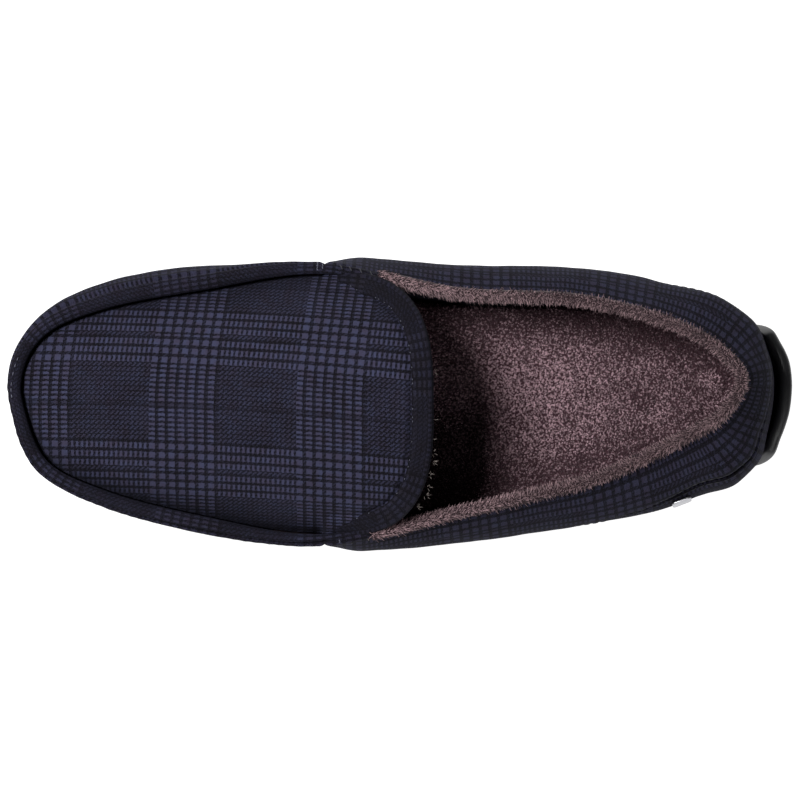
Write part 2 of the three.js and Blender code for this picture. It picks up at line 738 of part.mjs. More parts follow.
function solidMesh(name, geometry, colour, roughness, metalness = 0) {
  const material = new THREE.MeshStandardMaterial({ color: colour, roughness, metalness });
  const mesh = new THREE.Mesh(geometry, material);
  mesh.name = name;
  return mesh;
}

const room = toManifold(tongueRoom());
const upper = fromManifold(toManifold(upperGeometry()).subtract(room));
const plush = fromManifold(toManifold(plushGeometry()).subtract(room));

const group = new THREE.Group();
group.add(solidMesh('outsole', outsoleGeometry(), 0x2a2b2e, 0.55));
group.add(solidMesh('insole', insoleGeometry(), 0x7d6668, 0.95));
group.add(solidMesh('upper', upper, 0x24253a, 0.9));
group.add(solidMesh('plug', plugGeometry(), 0x2f3150, 0.9));
group.add(solidMesh('throat_binding', bindingGeometry(), 0x1a1b2a, 0.9));
group.add(solidMesh('plush_collar', plush, 0x8a7477, 0.95));
group.add(solidMesh('heel_counter', counterGeometry(), 0x202136, 0.9));

const stud = solidMesh('side_stud', studGeometry(), 0xc9c9cc, 0.35, 1);
const studPlace = wallFrame(studTurn, studRise);
const studBase = clearance + counterThickness + clearance * 2;
stud.matrix.makeBasis(studPlace.along.clone().negate(), studPlace.up, studPlace.out);
stud.matrix.setPosition(wallOffset(studTurn, studRise, studBase));
stud.matrix.decompose(stud.position, stud.quaternion, stud.scale);
group.add(stud);

// The origin is the middle of the whole shoe on the floor
const bounds = new THREE.Box3();
group.updateMatrixWorld(true);
group.children.forEach((mesh) => bounds.expandByObject(mesh, true));
const centre = bounds.getCenter(new THREE.Vector3());
group.position.set(-centre.x, -centre.y, -bounds.min.z);

export default group;
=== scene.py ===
"""Moccasin slipper for the left foot: check cloth, plush lining, rubber sole.

Lengths inside the classes are millimetres on the last, with x from the toe to the heel, +Y medial
and z = 0 on the floor. A place around the shoe is a turn in degrees: 0 at the toe, 90 on the medial
side, 180 at the heel. A place up the side wall is a share of its height, 0 at the sole.
"""

import logging
import math
from dataclasses import dataclass, field
from enum import Enum
from functools import lru_cache
from typing import Any, Callable, Sequence

import bmesh
import bpy
from mathutils import Matrix, Vector, kdtree, noise


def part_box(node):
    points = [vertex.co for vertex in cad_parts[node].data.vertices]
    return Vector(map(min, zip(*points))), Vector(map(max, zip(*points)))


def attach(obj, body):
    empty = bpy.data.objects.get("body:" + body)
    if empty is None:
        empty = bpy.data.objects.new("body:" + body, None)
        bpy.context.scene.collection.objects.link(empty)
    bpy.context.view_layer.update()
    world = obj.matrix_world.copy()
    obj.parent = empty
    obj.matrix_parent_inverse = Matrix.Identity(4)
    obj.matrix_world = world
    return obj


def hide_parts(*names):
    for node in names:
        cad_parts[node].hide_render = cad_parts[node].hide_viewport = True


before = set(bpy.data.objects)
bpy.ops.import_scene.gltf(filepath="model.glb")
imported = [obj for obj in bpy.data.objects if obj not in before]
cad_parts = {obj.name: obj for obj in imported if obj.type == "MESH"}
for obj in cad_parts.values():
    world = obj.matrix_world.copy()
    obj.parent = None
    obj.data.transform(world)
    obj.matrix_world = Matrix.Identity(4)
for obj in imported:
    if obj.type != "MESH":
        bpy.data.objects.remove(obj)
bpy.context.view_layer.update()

log = logging.getLogger("slipper")

Place = Callable[[int, int], tuple[Vector, tuple[float, float]]]
Inputs = dict[Any, Any]


# Plain functions


def mix(low: float, high: float, share: float) -> float:
    """Value between low and high at a share from 0 to 1."""
    return low + (high - low) * share


def smoothstep(value: float, low: float, high: float) -> float:
    """Smooth passage from 0 at low to 1 at high."""
    share = min(1.0, max(0.0, (value - low) / (high - low)))
    return share * share * (3 - 2 * share)


def hill(value: float, middle: float, width: float) -> float:
    """Smooth hump, 1 at the middle and close to 0 two widths away."""
    return math.exp(-(((value - middle) / width) ** 2))


def steps(count: int, low: float, high: float) -> list[float]:
    """Evenly spaced values.

    Args:
        count: number of spaces.
        low: first value.
        high: last value.

    Returns:
        count + 1 values.
    """
    return [mix(low, high, i / count) for i in range(count + 1)]


def soft_noise(point: Vector, size: float, seed: float = 0.0) -> float:
    """Smooth noise from about -1 to 1.

    Args:
        point: place in millimetres.
        size: how wide a bump is, in millimetres.
        seed: shifts the pattern, so that pieces differ.

    Returns:
        The noise at the point.
    """
    return noise.noise(point / size + Vector((seed, 1.7 * seed, -0.6 * seed)))


def linear(code: str) -> tuple[float, float, float, float]:
    """Linear colour of an sRGB hex code.

    Args:
        code: six hex digits with a leading #.

    Returns:
        Red, green, blue and alpha, linear.
    """
    shares = [int(code[i : i + 2], 16) / 255 for i in (1, 3, 5)]
    red, green, blue = (s / 12.92 if s <= 0.04045 else ((s + 0.055) / 1.055) ** 2.4 for s in shares)
    return red, green, blue, 1.0


# The last


@dataclass(frozen=True)
class Section:
    """One section through the side wall.

    across: half breadth at the widest place, share of the ball's width, medial above zero.
    tuck: how far the foot of the wall lies inside the widest place, share of the ball's width.
    belly: height of the widest place, share of the wall's height.
    rise: height of the top edge, share of the heel's height.
    lean: how far the top edge lies inside the widest place, share of the ball's width.
    bead: half width of the top edge, share of half the roll's width.
    seam: top of the counter, share of the wall's height.
    cup: top of the rubber side, share of the wall's height.
    """

    across: float
    tuck: float
    belly: float
    rise: float
    lean: float
    bead: float
    seam: float
    cup: float


# One section for every twenty degrees of turn, from the toe over the medial side
SECTIONS = (
    Section(0.061, 0.055, 0.90, 0.530, 0.000, 0.72, 0.0, 0.15),
    Section(0.277, 0.058, 0.80, 0.530, 0.006, 0.80, 0.0, 0.13),
    Section(0.412, 0.062, 0.55, 0.540, 0.028, 0.88, 0.0, 0.10),
    Section(0.484, 0.062, 0.45, 0.575, 0.030, 0.90, 0.0, 0.08),
    Section(0.501, 0.070, 0.42, 0.640, 0.006, 0.62, 0.0, 0.07),
    Section(0.470, 0.095, 0.38, 0.740, 0.075, 0.36, 0.0, 0.07),
    Section(0.460, 0.090, 0.35, 0.790, 0.090, 0.34, 0.16, 0.08),
    Section(0.392, 0.085, 0.32, 0.870, 0.110, 0.34, 0.38, 0.10),
    Section(0.256, 0.062, 0.33, 0.955, 0.110, 0.34, 0.53, 0.27),
    Section(0.077, 0.022, 0.36, 1.000, 0.108, 0.34, 0.60, 0.36),
    Section(-0.170, 0.060, 0.33, 0.950, 0.180, 0.34, 0.62, 0.27),
    Section(-0.316, 0.085, 0.30, 0.860, 0.190, 0.34, 0.60, 0.10),
    Section(-0.393, 0.085, 0.32, 0.780, 0.125, 0.34, 0.34, 0.08),
    Section(-0.456, 0.080, 0.40, 0.735, 0.080, 0.36, 0.0, 0.07),
    Section(-0.486, 0.062, 0.65, 0.635, 0.006, 0.62, 0.0, 0.07),
    Section(-0.441, 0.060, 0.80, 0.570, 0.002, 0.92, 0.0, 0.08),
    Section(-0.345, 0.060, 0.88, 0.540, 0.000, 0.86, 0.0, 0.10),
    Section(-0.210, 0.058, 0.90, 0.530, 0.000, 0.78, 0.0, 0.13),
)

# The plug's ridge: share of its length, share of the way up from its toe edge
RIDGE = ((0.0, 0.0), (0.05, 0.15), (0.14, 0.29), (0.30, 0.45), (0.50, 0.62), (0.75, 0.83), (1.0, 1.0))

# The sole's underside along its length: shares of toe spring, arch lift and heel lift
SPRING = ((0.0, 1.0), (0.08, 0.52), (0.16, 0.16), (0.24, 0.0), (1.0, 0.0))
ARCH = ((0.0, 0.0), (0.42, 0.0), (0.50, 0.7), (0.58, 1.0), (0.66, 0.6), (0.72, 0.0), (1.0, 0.0))
BACK = ((0.0, 0.0), (0.92, 0.0), (1.0, 1.0))

# How far sewing and wear push the wall off its last: turn in degrees, millimetres outwards
SETTLED = (
    (0.0, 0.0), (12.0, 0.8), (35.0, 1.4), (55.0, 1.0), (70.0, 0.0), (134.0, 0.0), (150.0, 3.5), (158.0, 3.5),
    (169.0, 0.8), (180.0, 0.0), (192.0, 0.8), (200.0, 3.2), (206.0, 3.2), (214.0, 0.4), (217.0, 0.0),
    (235.0, 0.0), (248.0, -1.1), (285.0, -1.1), (310.0, -1.5), (335.0, -1.4), (350.0, -1.2), (360.0, 0.0),
)


def table_value(rows: Sequence[tuple[float, float]], at: float) -> float:
    """Smooth value between the rows of a table, without overshoot.

    Args:
        rows: pairs of place and value, by place.
        at: the place asked for.

    Returns:
        The value there.
    """
    if at <= rows[0][0]:
        return rows[0][1]
    if at >= rows[-1][0]:
        return rows[-1][1]
    k = next(i for i, row in enumerate(rows) if row[0] > at)

    def grade(i: int) -> float:
        """Slope between row i and the next."""
        return (rows[i + 1][1] - rows[i][1]) / (rows[i + 1][0] - rows[i][0])

    def slope(i: int) -> float:
        """Slope through row i."""
        if i == 0:
            return grade(0)
        if i == len(rows) - 1:
            return grade(i - 1)
        before, after = grade(i - 1), grade(i)
        return 0.0 if before * after <= 0 else 2 * before * after / (before + after)

    (x0, y0), (x1, y1) = rows[k - 1], rows[k]
    s = (at - x0) / (x1 - x0)
    width = x1 - x0
    return (
        (2 * s**3 - 3 * s**2 + 1) * y0
        + (s**3 - 2 * s**2 + s) * slope(k - 1) * width
        + (3 * s**2 - 2 * s**3) * y1
        + (s**3 - s**2) * slope(k) * width
    )


@dataclass(frozen=True)
class Last:
    """The shoe's surfaces, which every piece lies on. Sizes in millimetres."""

    length: float = 282.6
    ball_width: float = 108.0
    heel_height: float = 66.0
    instep_height: float = 75.0
    wall_thickness: float = 2.2
    roll_width: float = 6.6
    roll_fade: float = 0.3
    collar_puff: float = 2.4
    plug_thickness: float = 2.4
    plug_crown: float = 2.3
    plug_drop: float = 0.7
    tongue_length: float = 39.4
    tongue_lift: float = 9.0
    tongue_round: float = 3.0
    tack_turn: float = 80.0
    plush_thickness: float = 1.2
    plush_outside: float = 1.2
    plush_inside: float = 9.0
    counter_thickness: float = 1.2
    counter_spread: float = 65.0
    counter_foot: float = 0.06
    seam_allowance: float = 0.015
    sole_thickness: float = 8.0
    toe_spring: float = 6.5
    arch_lift: float = 2.6
    heel_lift: float = 1.6
    clearance: float = 0.3
    heel_flare: float = 3.1
    cup_spread: float = 16.0
    cup_step: float = 6.0
    flare_shares: tuple[tuple[float, float], ...] = (
        (0.0, 1.0), (6.0, 0.95), (11.0, 0.72), (15.0, 0.5), (19.0, 0.2), (24.0, 0.05), (28.0, 0.0), (180.0, 0.0)
    )
    side_height: float = 0.08
    photo_scale: float = 0.3706
    stud_turn: float = 220.0
    stud_rise: float = 0.48
    stud_thickness: float = 0.7

    @lru_cache(maxsize=None)
    def station(self, turn: float) -> Section:
        """Section at any turn, by a closed smooth curve through the given ones."""
        place = (turn % 360) / 20
        first = int(place)
        s = place - first
        rows = [SECTIONS[(first + k) % 18] for k in (-1, 0, 1, 2)]
        values = []
        for name in Section.__dataclass_fields__:
            a, b, c, d = (getattr(row, name) for row in rows)
            values.append(
                (2 * s**3 - 3 * s**2 + 1) * b
                + (s**3 - 2 * s**2 + s) * (c - a) / 2
                + (3 * s**2 - 2 * s**3) * c
                + (s**3 - s**2) * (d - b) / 2
            )
        return Section(*values)

    def sole_bottom(self, x: float) -> float:
        """Height of the sole's underside."""
        at = x / self.length
        rise = table_value(SPRING, at) * self.toe_spring + table_value(ARCH, at) * self.arch_lift
        return rise + table_value(BACK, at) * self.heel_lift

    @lru_cache(maxsize=None)
    def sole_top(self, x: float) -> float:
        """Height of the sole's upper side."""
        at = min(1.0, max(0.0, x / self.length))
        rise = table_value(SPRING, at) * self.toe_spring + table_value(ARCH, at) * self.arch_lift
        return self.sole_thickness + rise

    def outline(self, turn: float) -> Vector:
        """Point of the widest line, seen from above."""
        x = self.length * (1 - math.cos(math.radians(turn))) / 2
        return Vector((x, self.station(turn).across * self.ball_width, 0))

    @lru_cache(maxsize=None)
    def _plan(self, turn: float) -> tuple[Vector, Vector, float]:
        """Widest point, outward direction and height of the wall's foot at a turn."""
        along = self.outline(turn + 0.5) - self.outline(turn - 0.5)
        point = self.outline(turn)
        return point, Vector((-along.y, along.x, 0)).normalized(), self.sole_top(point.x) + self.clearance

    def outward(self, turn: float) -> Vector:
        """Outward direction in plan."""
        return self._plan(turn)[1]

    def settled(self, turn: float, height: float) -> float:
        """How far the wall stands off its last; a bulge fades below the top edge."""
        push = table_value(SETTLED, turn % 360)
        return push if push < 0 else push * (1 - smoothstep(height, 0.6, 0.95))

    def wall(self, turn: float, height: float) -> Vector:
        """Point of the wall's outer surface, without its padding."""
        row = self.station(turn)
        plan, out, foot = self._plan(turn)
        below = max(0.0, (row.belly - height) / row.belly)
        above = max(0.0, (height - row.belly) / (1 - row.belly))
        inset = (row.tuck * below * below + row.lean * above * above) * self.ball_width
        inset -= self.settled(turn, height)
        return Vector(
            (plan.x - out.x * inset, plan.y - out.y * inset, mix(foot, row.rise * self.heel_height, height))
        )

    @lru_cache(maxsize=None)
    def axes(self, turn: float, height: float) -> tuple[Vector, Vector, Vector]:
        """Directions up the wall, along it and out of it."""
        up = (self.wall(turn, height + 0.01) - self.wall(turn, height - 0.01)).normalized()
        along = (self.wall(turn + 1, height) - self.wall(turn - 1, height)).normalized()
        return up, along, up.cross(along).normalized()

    def offset(self, turn: float, height: float, distance: float) -> Vector:
        """Point at a distance outside the wall."""
        return self.wall(turn, height) + self.axes(turn, height)[2] * distance

    def bead_radius(self, turn: float) -> float:
        """Half width of the wall's top edge."""
        return self.station(turn).bead * self.roll_width / 2

    def quarter_share(self, turn: float) -> float:
        """0 beside the plug and 1 beside the foot's opening."""
        return smoothstep(min(turn % 360, 360 - turn % 360), self.tack_turn, self.tack_turn + 6)

    @lru_cache(maxsize=None)
    def wall_height(self, turn: float) -> float:
        """Height from the wall's foot to its top."""
        return self.wall(turn, 1).z - self.wall(turn, 0).z

    def below_top(self, turn: float, distance: float) -> float:
        """Share of the wall's height that lies a distance below its top."""
        return 1 - distance / self.wall_height(turn)

    def padding_end(self, turn: float) -> float:
        """Where the collar's padding ends, just below the plush."""
        return self.below_top(turn, 1.4 * self.plush_outside)

    def seam_height(self, turn: float) -> float:
        """Where the counter ends and the padded collar begins."""
        return max(2 * self.counter_foot, self.station(turn).seam)

    def padding(self, turn: float, height: float) -> float:
        """How far the padded collar stands off the wall."""
        seam = self.seam_height(turn)
        share = min(1.0, max(0.0, (height - seam) / (self.padding_end(turn) - seam)))
        return self.collar_puff * self.quarter_share(turn) * math.sin(math.pi * math.sqrt(share)) ** 0.8

    def thickness(self, turn: float, height: float) -> float:
        """Thickness of the wall, which widens to the roll or the collar's edge."""
        return mix(self.wall_thickness, 2 * self.bead_radius(turn), smoothstep(height, 1 - self.roll_fade, 1))

    def plug_edge(self, turn: float) -> Vector:
        """The plug's edge beside the roll."""
        up, _, out = self.axes(turn, 1)
        return self.wall(turn, 1) - out * (2 * self.bead_radius(turn) + 1.3 * self.clearance) - up * self.plug_drop

    @lru_cache(maxsize=None)
    def tacks(self) -> tuple[Vector, Vector]:
        """Lateral and medial ends of the roll's inner edge."""
        return self.plug_edge(-self.tack_turn), self.plug_edge(self.tack_turn)

    @lru_cache(maxsize=None)
    def ridge_height(self, x: float) -> float:
        """Height of the plug along its middle."""
        lateral, medial = self.tacks()
        tip = self.plug_edge(0)
        span = (medial.x + lateral.x) / 2 + self.tongue_length - tip.x
        return mix(tip.z, self.instep_height, table_value(RIDGE, (x - tip.x) / span))

    def arch(self, lateral: Vector, medial: Vector, across: float) -> Vector:
        """Point of the plug between its two edges; across runs from -1, lateral, to 1."""
        point = lateral.lerp(medial, (across + 1) / 2)
        top = max(point.z, self.ridge_height(point.x))
        point.z = mix(point.z, top, 1 - abs(across) ** self.plug_crown)
        return point

    def tongue(self, x: float, y: float) -> Vector:
        """The tongue's surface behind the tacks."""
        lateral, medial = self.tacks()
        across = min(1.0, max(0.0, (y - lateral.y) / (medial.y - lateral.y))) * 2 - 1
        tack = lateral.lerp(medial, (across + 1) / 2)
        edge = tack.z + self.tongue_lift * (x - tack.x) / self.tongue_length
        return Vector((x, y, mix(edge, self.ridge_height(x), 1 - abs(across) ** self.plug_crown)))

    def tongue_edge(self, across: float) -> Vector:
        """The tongue's free edge in plan."""
        lateral, medial = self.tacks()
        tack = lateral.lerp(medial, (across + 1) / 2)
        reach = (1 - min(1.0, abs(across)) ** self.tongue_round) ** (1 / self.tongue_round)
        return Vector((tack.x + self.tongue_length * reach, tack.y, 0))

    def cup_share(self, turn: float) -> float:
        """1 behind the heel, where the rubber cup is full, and 0 along the sides."""
        return 1 - smoothstep(abs(turn % 360 - 180), self.cup_spread, self.cup_spread + self.cup_step)

    def cup_height(self, turn: float) -> float:
        """Top of the sole's wall, as a share of the upper's height."""
        height = self.station(turn).cup
        if abs(turn % 360 - 180) > 90:
            return height
        return mix(min(height, self.side_height), height, self.cup_share(turn))

    def cup_distance(self, turn: float, share: float = 0.0) -> float:
        """How far the sole's wall stands off the upper, past the counter at the heel.

        Args:
            turn: place around.
            share: place up the sole's wall, 0 at its foot and 1 at its top.

        Returns:
            The distance in millimetres; behind the heel it grows upwards.
        """
        from_heel = abs(turn % 360 - 180)
        behind = 1 - smoothstep(from_heel, self.counter_spread + 2, self.counter_spread + 14)
        flared = table_value(self.flare_shares, from_heel)
        stand = behind * (self.counter_thickness + self.clearance)
        return self.clearance + stand + self.heel_flare * flared * share**2

    def sole_side(self, turn: float, distance: float, z: float) -> Vector:
        """Point at a distance outside the foot of the wall, at a height."""
        point = self.wall(turn, 0) + self.outward(turn) * distance
        point.z = z
        return point

    @lru_cache(maxsize=None)
    def shift(self) -> Vector:
        """From the last's origin to the frame's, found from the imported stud."""
        low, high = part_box("side_stud")
        stand = 3 * self.clearance + self.counter_thickness + self.stud_thickness / 2
        return (low + high) / 2 * 1000 - self.offset(self.stud_turn, self.stud_rise, stand)

    def to_frame(self, point: Vector) -> Vector:
        """Point of the last in metres of the frame."""
        return (point + self.shift()) / 1000

    def from_photo(self, column: float, row: float) -> Vector:
        """Place in plan under a pixel of the photograph, on the last."""
        scale = self.photo_scale
        return Vector(((column - 400.5) * scale, (405.5 - row) * scale, 0)) - self.shift()

    @lru_cache(maxsize=None)
    def girth(self) -> tuple[list[float], list[float]]:
        """Lengths of cloth around each side, at every half degree from the toe to the heel.

        Returns:
            Medial and lateral lists; each equals x at the middle of the shoe.
        """
        sides = []
        for sign in (1, -1):
            places = [self.outline(sign * turn) for turn in steps(360, 0, 180)]
            lengths = [0.0]
            for a, b in zip(places, places[1:]):
                lengths.append(lengths[-1] + (b - a).length)
            offset = places[180].x - lengths[180]
            sides.append([one + offset for one in lengths])
        return sides[0], sides[1]

    def cloth_x(self, turn: float) -> float:
        """Length of cloth along the wall, which equals x at the middle of the shoe."""
        turn = turn % 360
        side = self.girth()[0] if turn <= 180 else self.girth()[1]
        place = min(turn, 360 - turn) * 2
        first = min(359, int(place))
        return mix(side[first], side[first + 1], place - first)


LAST = Last()


# Mesh makers


def finish_mesh(name: str, bm: bmesh.types.BMesh, merge: float = 1e-6) -> bpy.types.Object:
    """Turns a bmesh into a smooth shaded object of the scene.

    Args:
        name: the piece's name.
        bm: the shape, in metres of the frame; it is freed.
        merge: corners closer than this become one.

    Returns:
        The new object.
    """
    bmesh.ops.remove_doubles(bm, verts=bm.verts, dist=merge)
    bmesh.ops.dissolve_degenerate(bm, dist=merge / 10, edges=bm.edges)
    bmesh.ops.recalc_face_normals(bm, faces=bm.faces)
    for face in bm.faces:
        face.smooth = True
    mesh = bpy.data.meshes.new(name)
    bm.to_mesh(mesh)
    bm.free()
    piece = bpy.data.objects.new(name, mesh)
    bpy.context.scene.collection.objects.link(piece)
    return piece


def lay_grid(bm: bmesh.types.BMesh, columns: int, rows: int, place: Place) -> list[bmesh.types.BMVert]:
    """Lays a grid over a surface.

    Args:
        bm: the bmesh it is added to.
        columns: faces in the first direction.
        rows: faces in the second direction.
        place: gives the point on the last and the cloth's coordinates (mm) of a corner.

    Returns:
        The grid's corners.
    """
    cloth = bm.loops.layers.uv.get("cloth") or bm.loops.layers.uv.new("cloth")
    made = bmesh.ops.create_grid(bm, x_segments=columns, y_segments=rows, size=1)["verts"]
    where: dict[bmesh.types.BMVert, tuple[float, float]] = {}
    for vert in made:
        i = round((vert.co.x + 1) / 2 * columns)
        j = round((vert.co.y + 1) / 2 * rows)
        point, coordinates = place(i, j)
        vert.co = LAST.to_frame(point)
        where[vert] = (coordinates[0] / 1000, coordinates[1] / 1000)
    for face in {face for vert in made for face in vert.link_faces}:
        for loop in face.loops:
            loop[cloth].uv = where[loop.vert]
    return made


def wrap(
    name: str, turns: Sequence[float], profile: Callable[[float], list[tuple[Vector, float]]], closed: bool
) -> bpy.types.Object:
    """Sweeps a closed profile around the shoe.

    Args:
        name: the piece's name.
        turns: where the profile is set, from first to last.
        profile: gives the corners of the closed profile at a turn, each with its cloth height.
        closed: the turns run all the way round, so the ends meet.

    Returns:
        The piece, with its ends closed.
    """
    loops = [profile(turn) for turn in turns]
    count = len(loops[0])

    def place(i: int, j: int) -> tuple[Vector, tuple[float, float]]:
        """Corner j of the profile at turn i."""
        point, height = loops[i][j % count]
        return point, (LAST.cloth_x(turns[i]) + LAST.shift().x, height)

    bm = bmesh.new()
    lay_grid(bm, len(turns) - 1, count, place)
    if not closed:
        bmesh.ops.remove_doubles(bm, verts=bm.verts, dist=1e-6)
        bmesh.ops.holes_fill(bm, edges=[edge for edge in bm.edges if edge.is_boundary], sides=0)
    return finish_mesh(name, bm)


def ride(piece: bpy.types.Object, slot: str, *nodes: str) -> bpy.types.Object:
    """Puts a piece on the shoe.

    Args:
        piece: the new piece.
        slot: a material slot's name; not used.
        nodes: CAD nodes that it stands for.

    Returns:
        The same piece.
    """
    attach(piece, "root")
    if nodes:
        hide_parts(*nodes)
    triangles = sum(len(face.vertices) - 2 for face in piece.data.polygons)
    log.info("%s: %d triangles", piece.name, triangles)
    return piece


def dress(piece: bpy.types.Object, material: bpy.types.Material) -> bpy.types.Object:
    """Gives a piece its material."""
    piece.data.materials.clear()
    piece.data.materials.append(material)
    return piece


def write_values(piece: bpy.types.Object, name: str, values: Sequence[Any]) -> None:
    """Stores a value or direction at each corner of a piece.

    Args:
        piece: the piece.
        name: the attribute's name.
        values: one float or Vector a corner.
    """
    vectors = isinstance(values[0], Vector)
    layer = piece.data.attributes.new(name, "FLOAT_VECTOR" if vectors else "FLOAT", "POINT")
    if vectors:
        layer.data.foreach_set("vector", [part for value in values for part in value])
    else:
        layer.data.foreach_set("value", list(values))


# Materials


def add_node(tree: bpy.types.NodeTree, kind: str, settings: Inputs, inputs: Inputs) -> bpy.types.Node:
    """Adds a node with its settings and links.

    Args:
        tree: the node tree.
        kind: the node's class name.
        settings: attributes of the node.
        inputs: socket name or number to a value, or to the socket or node linked to it.

    Returns:
        The node.
    """
    node = tree.nodes.new(kind)
    for key, value in settings.items():
        setattr(node, key, value)
    for key, value in inputs.items():
        if isinstance(value, bpy.types.Node):
            value = value.outputs[0]
        if isinstance(value, bpy.types.NodeSocket):
            tree.links.new(value, node.inputs[key])
        else:
            node.inputs[key].default_value = value
    return node


def new_material(name: str) -> tuple[bpy.types.Material, bpy.types.NodeTree]:
    """A material with an empty node tree."""
    material = bpy.data.materials.new(name)
    material.use_nodes = True
    material.node_tree.nodes.clear()
    return material, material.node_tree


def close_material(tree: bpy.types.NodeTree, shader: Inputs, bump: Inputs) -> None:
    """Adds the shader and the output.

    Args:
        tree: the material's tree.
        shader: inputs of the Principled shader.
        bump: inputs of the Bump node.
    """
    normal = add_node(tree, "ShaderNodeBump", {}, bump)
    surface = add_node(tree, "ShaderNodeBsdfPrincipled", {}, {**shader, "Normal": normal})
    add_node(tree, "ShaderNodeOutputMaterial", {}, {"Surface": surface})


MATH = "ShaderNodeMath"


@dataclass(frozen=True)
class BrushedCheck:
    """Brushed twill woven in a glen check, navy on black.

    Threads are 0.45 mm apart. Bands of six pale and two black threads cross zones of two and two,
    so squares, dashes and fine diagonals follow from the 2/2 twill itself. Where a black thread crosses a
    pale one the colour stays dark, so dark lines part the squares both ways. The raised nap blurs the threads a little.
    """

    name: str
    pale: str = "#36384e"
    violet: str = "#343142"
    dark: str = "#0b0a0d"
    thread_along: float = 0.454
    thread_up: float = 0.455
    contrast: float = 1.0
    # Cloth height in millimetres above which the check is darker and duller
    dulled_from: float = 1000.0

    def build(self) -> bpy.types.Material:
        """Makes the material.

        Returns:
            The material, which reads the piece's cloth coordinates.
        """
        material, tree = new_material(self.name)
        cloth = add_node(tree, "ShaderNodeUVMap", {"uv_map": "cloth"}, {})
        # Threads wander by a tenth of a millimetre, as in any brushed cloth
        wander = add_node(
            tree, "ShaderNodeTexNoise", {"noise_dimensions": "2D"},
            {"Vector": cloth, "Scale": 640.0, "Detail": 1.0},
        )
        wavy = add_node(
            tree, "ShaderNodeVectorMath", {"operation": "MULTIPLY_ADD"},
            {0: wander.outputs["Color"], 1: (0.0005, 0.0005, 0.0), 2: cloth},
        )
        split = add_node(tree, "ShaderNodeSeparateXYZ", {}, {0: wavy})
        along = self._thread(tree, split.outputs["X"], self.thread_along, 92.5)
        up = self._thread(tree, split.outputs["Y"], self.thread_up, 0.0)
        warp, warp_band = self._stripes(tree, along, 120.0, 56.0, False)
        weft, weft_band = self._stripes(tree, up, 116.0, 52.0, True)
        crossing = add_node(tree, MATH, {"operation": "SUBTRACT"}, {0: along, 1: up})
        diagonal = add_node(tree, MATH, {"operation": "FLOORED_MODULO"}, {0: crossing, 1: 4.0})
        warp_up = add_node(tree, MATH, {"operation": "LESS_THAN"}, {0: diagonal, 1: 1.5})
        upper = add_node(tree, "ShaderNodeMix", {}, {"Factor": warp_up, "A": weft, "B": warp})
        both = add_node(tree, MATH, {"operation": "MULTIPLY"}, {0: warp, 1: weft})
        solid = add_node(tree, MATH, {"operation": "MULTIPLY"}, {0: both, 1: 0.6})
        bold = add_node(tree, MATH, {"operation": "MULTIPLY_ADD"}, {0: upper, 1: 0.25, 2: solid})
        # Between the bands each float of the twill shows as one short slanted dash
        row = add_node(tree, MATH, {"operation": "FLOORED_MODULO"}, {0: up, 1: 4.0})
        float_row = add_node(tree, MATH, {"operation": "LESS_THAN"}, {0: row, 1: 2.5})
        dash = add_node(tree, MATH, {"operation": "MULTIPLY"}, {0: warp_up, 1: float_row})
        quiet = add_node(tree, MATH, {"operation": "MULTIPLY_ADD"}, {0: dash, 1: 0.42, 2: 0.03})
        banded = add_node(tree, MATH, {"operation": "MAXIMUM"}, {0: warp_band, 1: weft_band})
        woven = add_node(tree, "ShaderNodeMix", {}, {"Factor": banded, "A": quiet, "B": bold})
        place = add_node(tree, MATH, {"operation": "FLOORED_MODULO"}, {0: up, 1: 116.0})
        line = add_node(tree, MATH, {"operation": "COMPARE"}, {0: place, 1: 80.0, 2: 1.6})
        keep = add_node(tree, MATH, {"operation": "MULTIPLY_ADD"}, {0: line, 1: -0.5, 2: 1.0})
        lined = add_node(tree, MATH, {"operation": "MULTIPLY"}, {0: woven, 1: keep})
        # Above a cloth height, over the seam roll, the check is made darker and duller
        height = add_node(
            tree, "ShaderNodeMapRange", {},
            {
                "Value": split.outputs["Y"], "From Min": self.dulled_from / 1000,
                "From Max": (self.dulled_from + 1.5) / 1000, "To Min": 1.0, "To Max": 0.75,
            },
        )
        pale = add_node(tree, MATH, {"operation": "MULTIPLY"}, {0: lined, 1: height})
        worn = add_node(
            tree, "ShaderNodeTexNoise", {}, {"Vector": cloth, "Scale": 60.0, "Detail": 4.0, "Roughness": 0.6}
        )
        fuzz = add_node(
            tree, "ShaderNodeTexNoise", {}, {"Vector": cloth, "Scale": 2600.0, "Detail": 2.0}
        )
        shade = add_node(
            tree, MATH, {"operation": "MULTIPLY_ADD"}, {0: pale, 1: 1.05 * self.contrast, 2: 0.05}
        )
        grain = add_node(tree, MATH, {"operation": "MULTIPLY_ADD"}, {0: fuzz, 1: 1.3, 2: -0.63})
        cloud = add_node(tree, MATH, {"operation": "MULTIPLY_ADD"}, {0: worn, 1: 0.4, 2: -0.2})
        partly = add_node(tree, MATH, {"operation": "ADD"}, {0: shade, 1: grain})
        share = add_node(tree, MATH, {"operation": "ADD", "use_clamp": True}, {0: partly, 1: cloud})
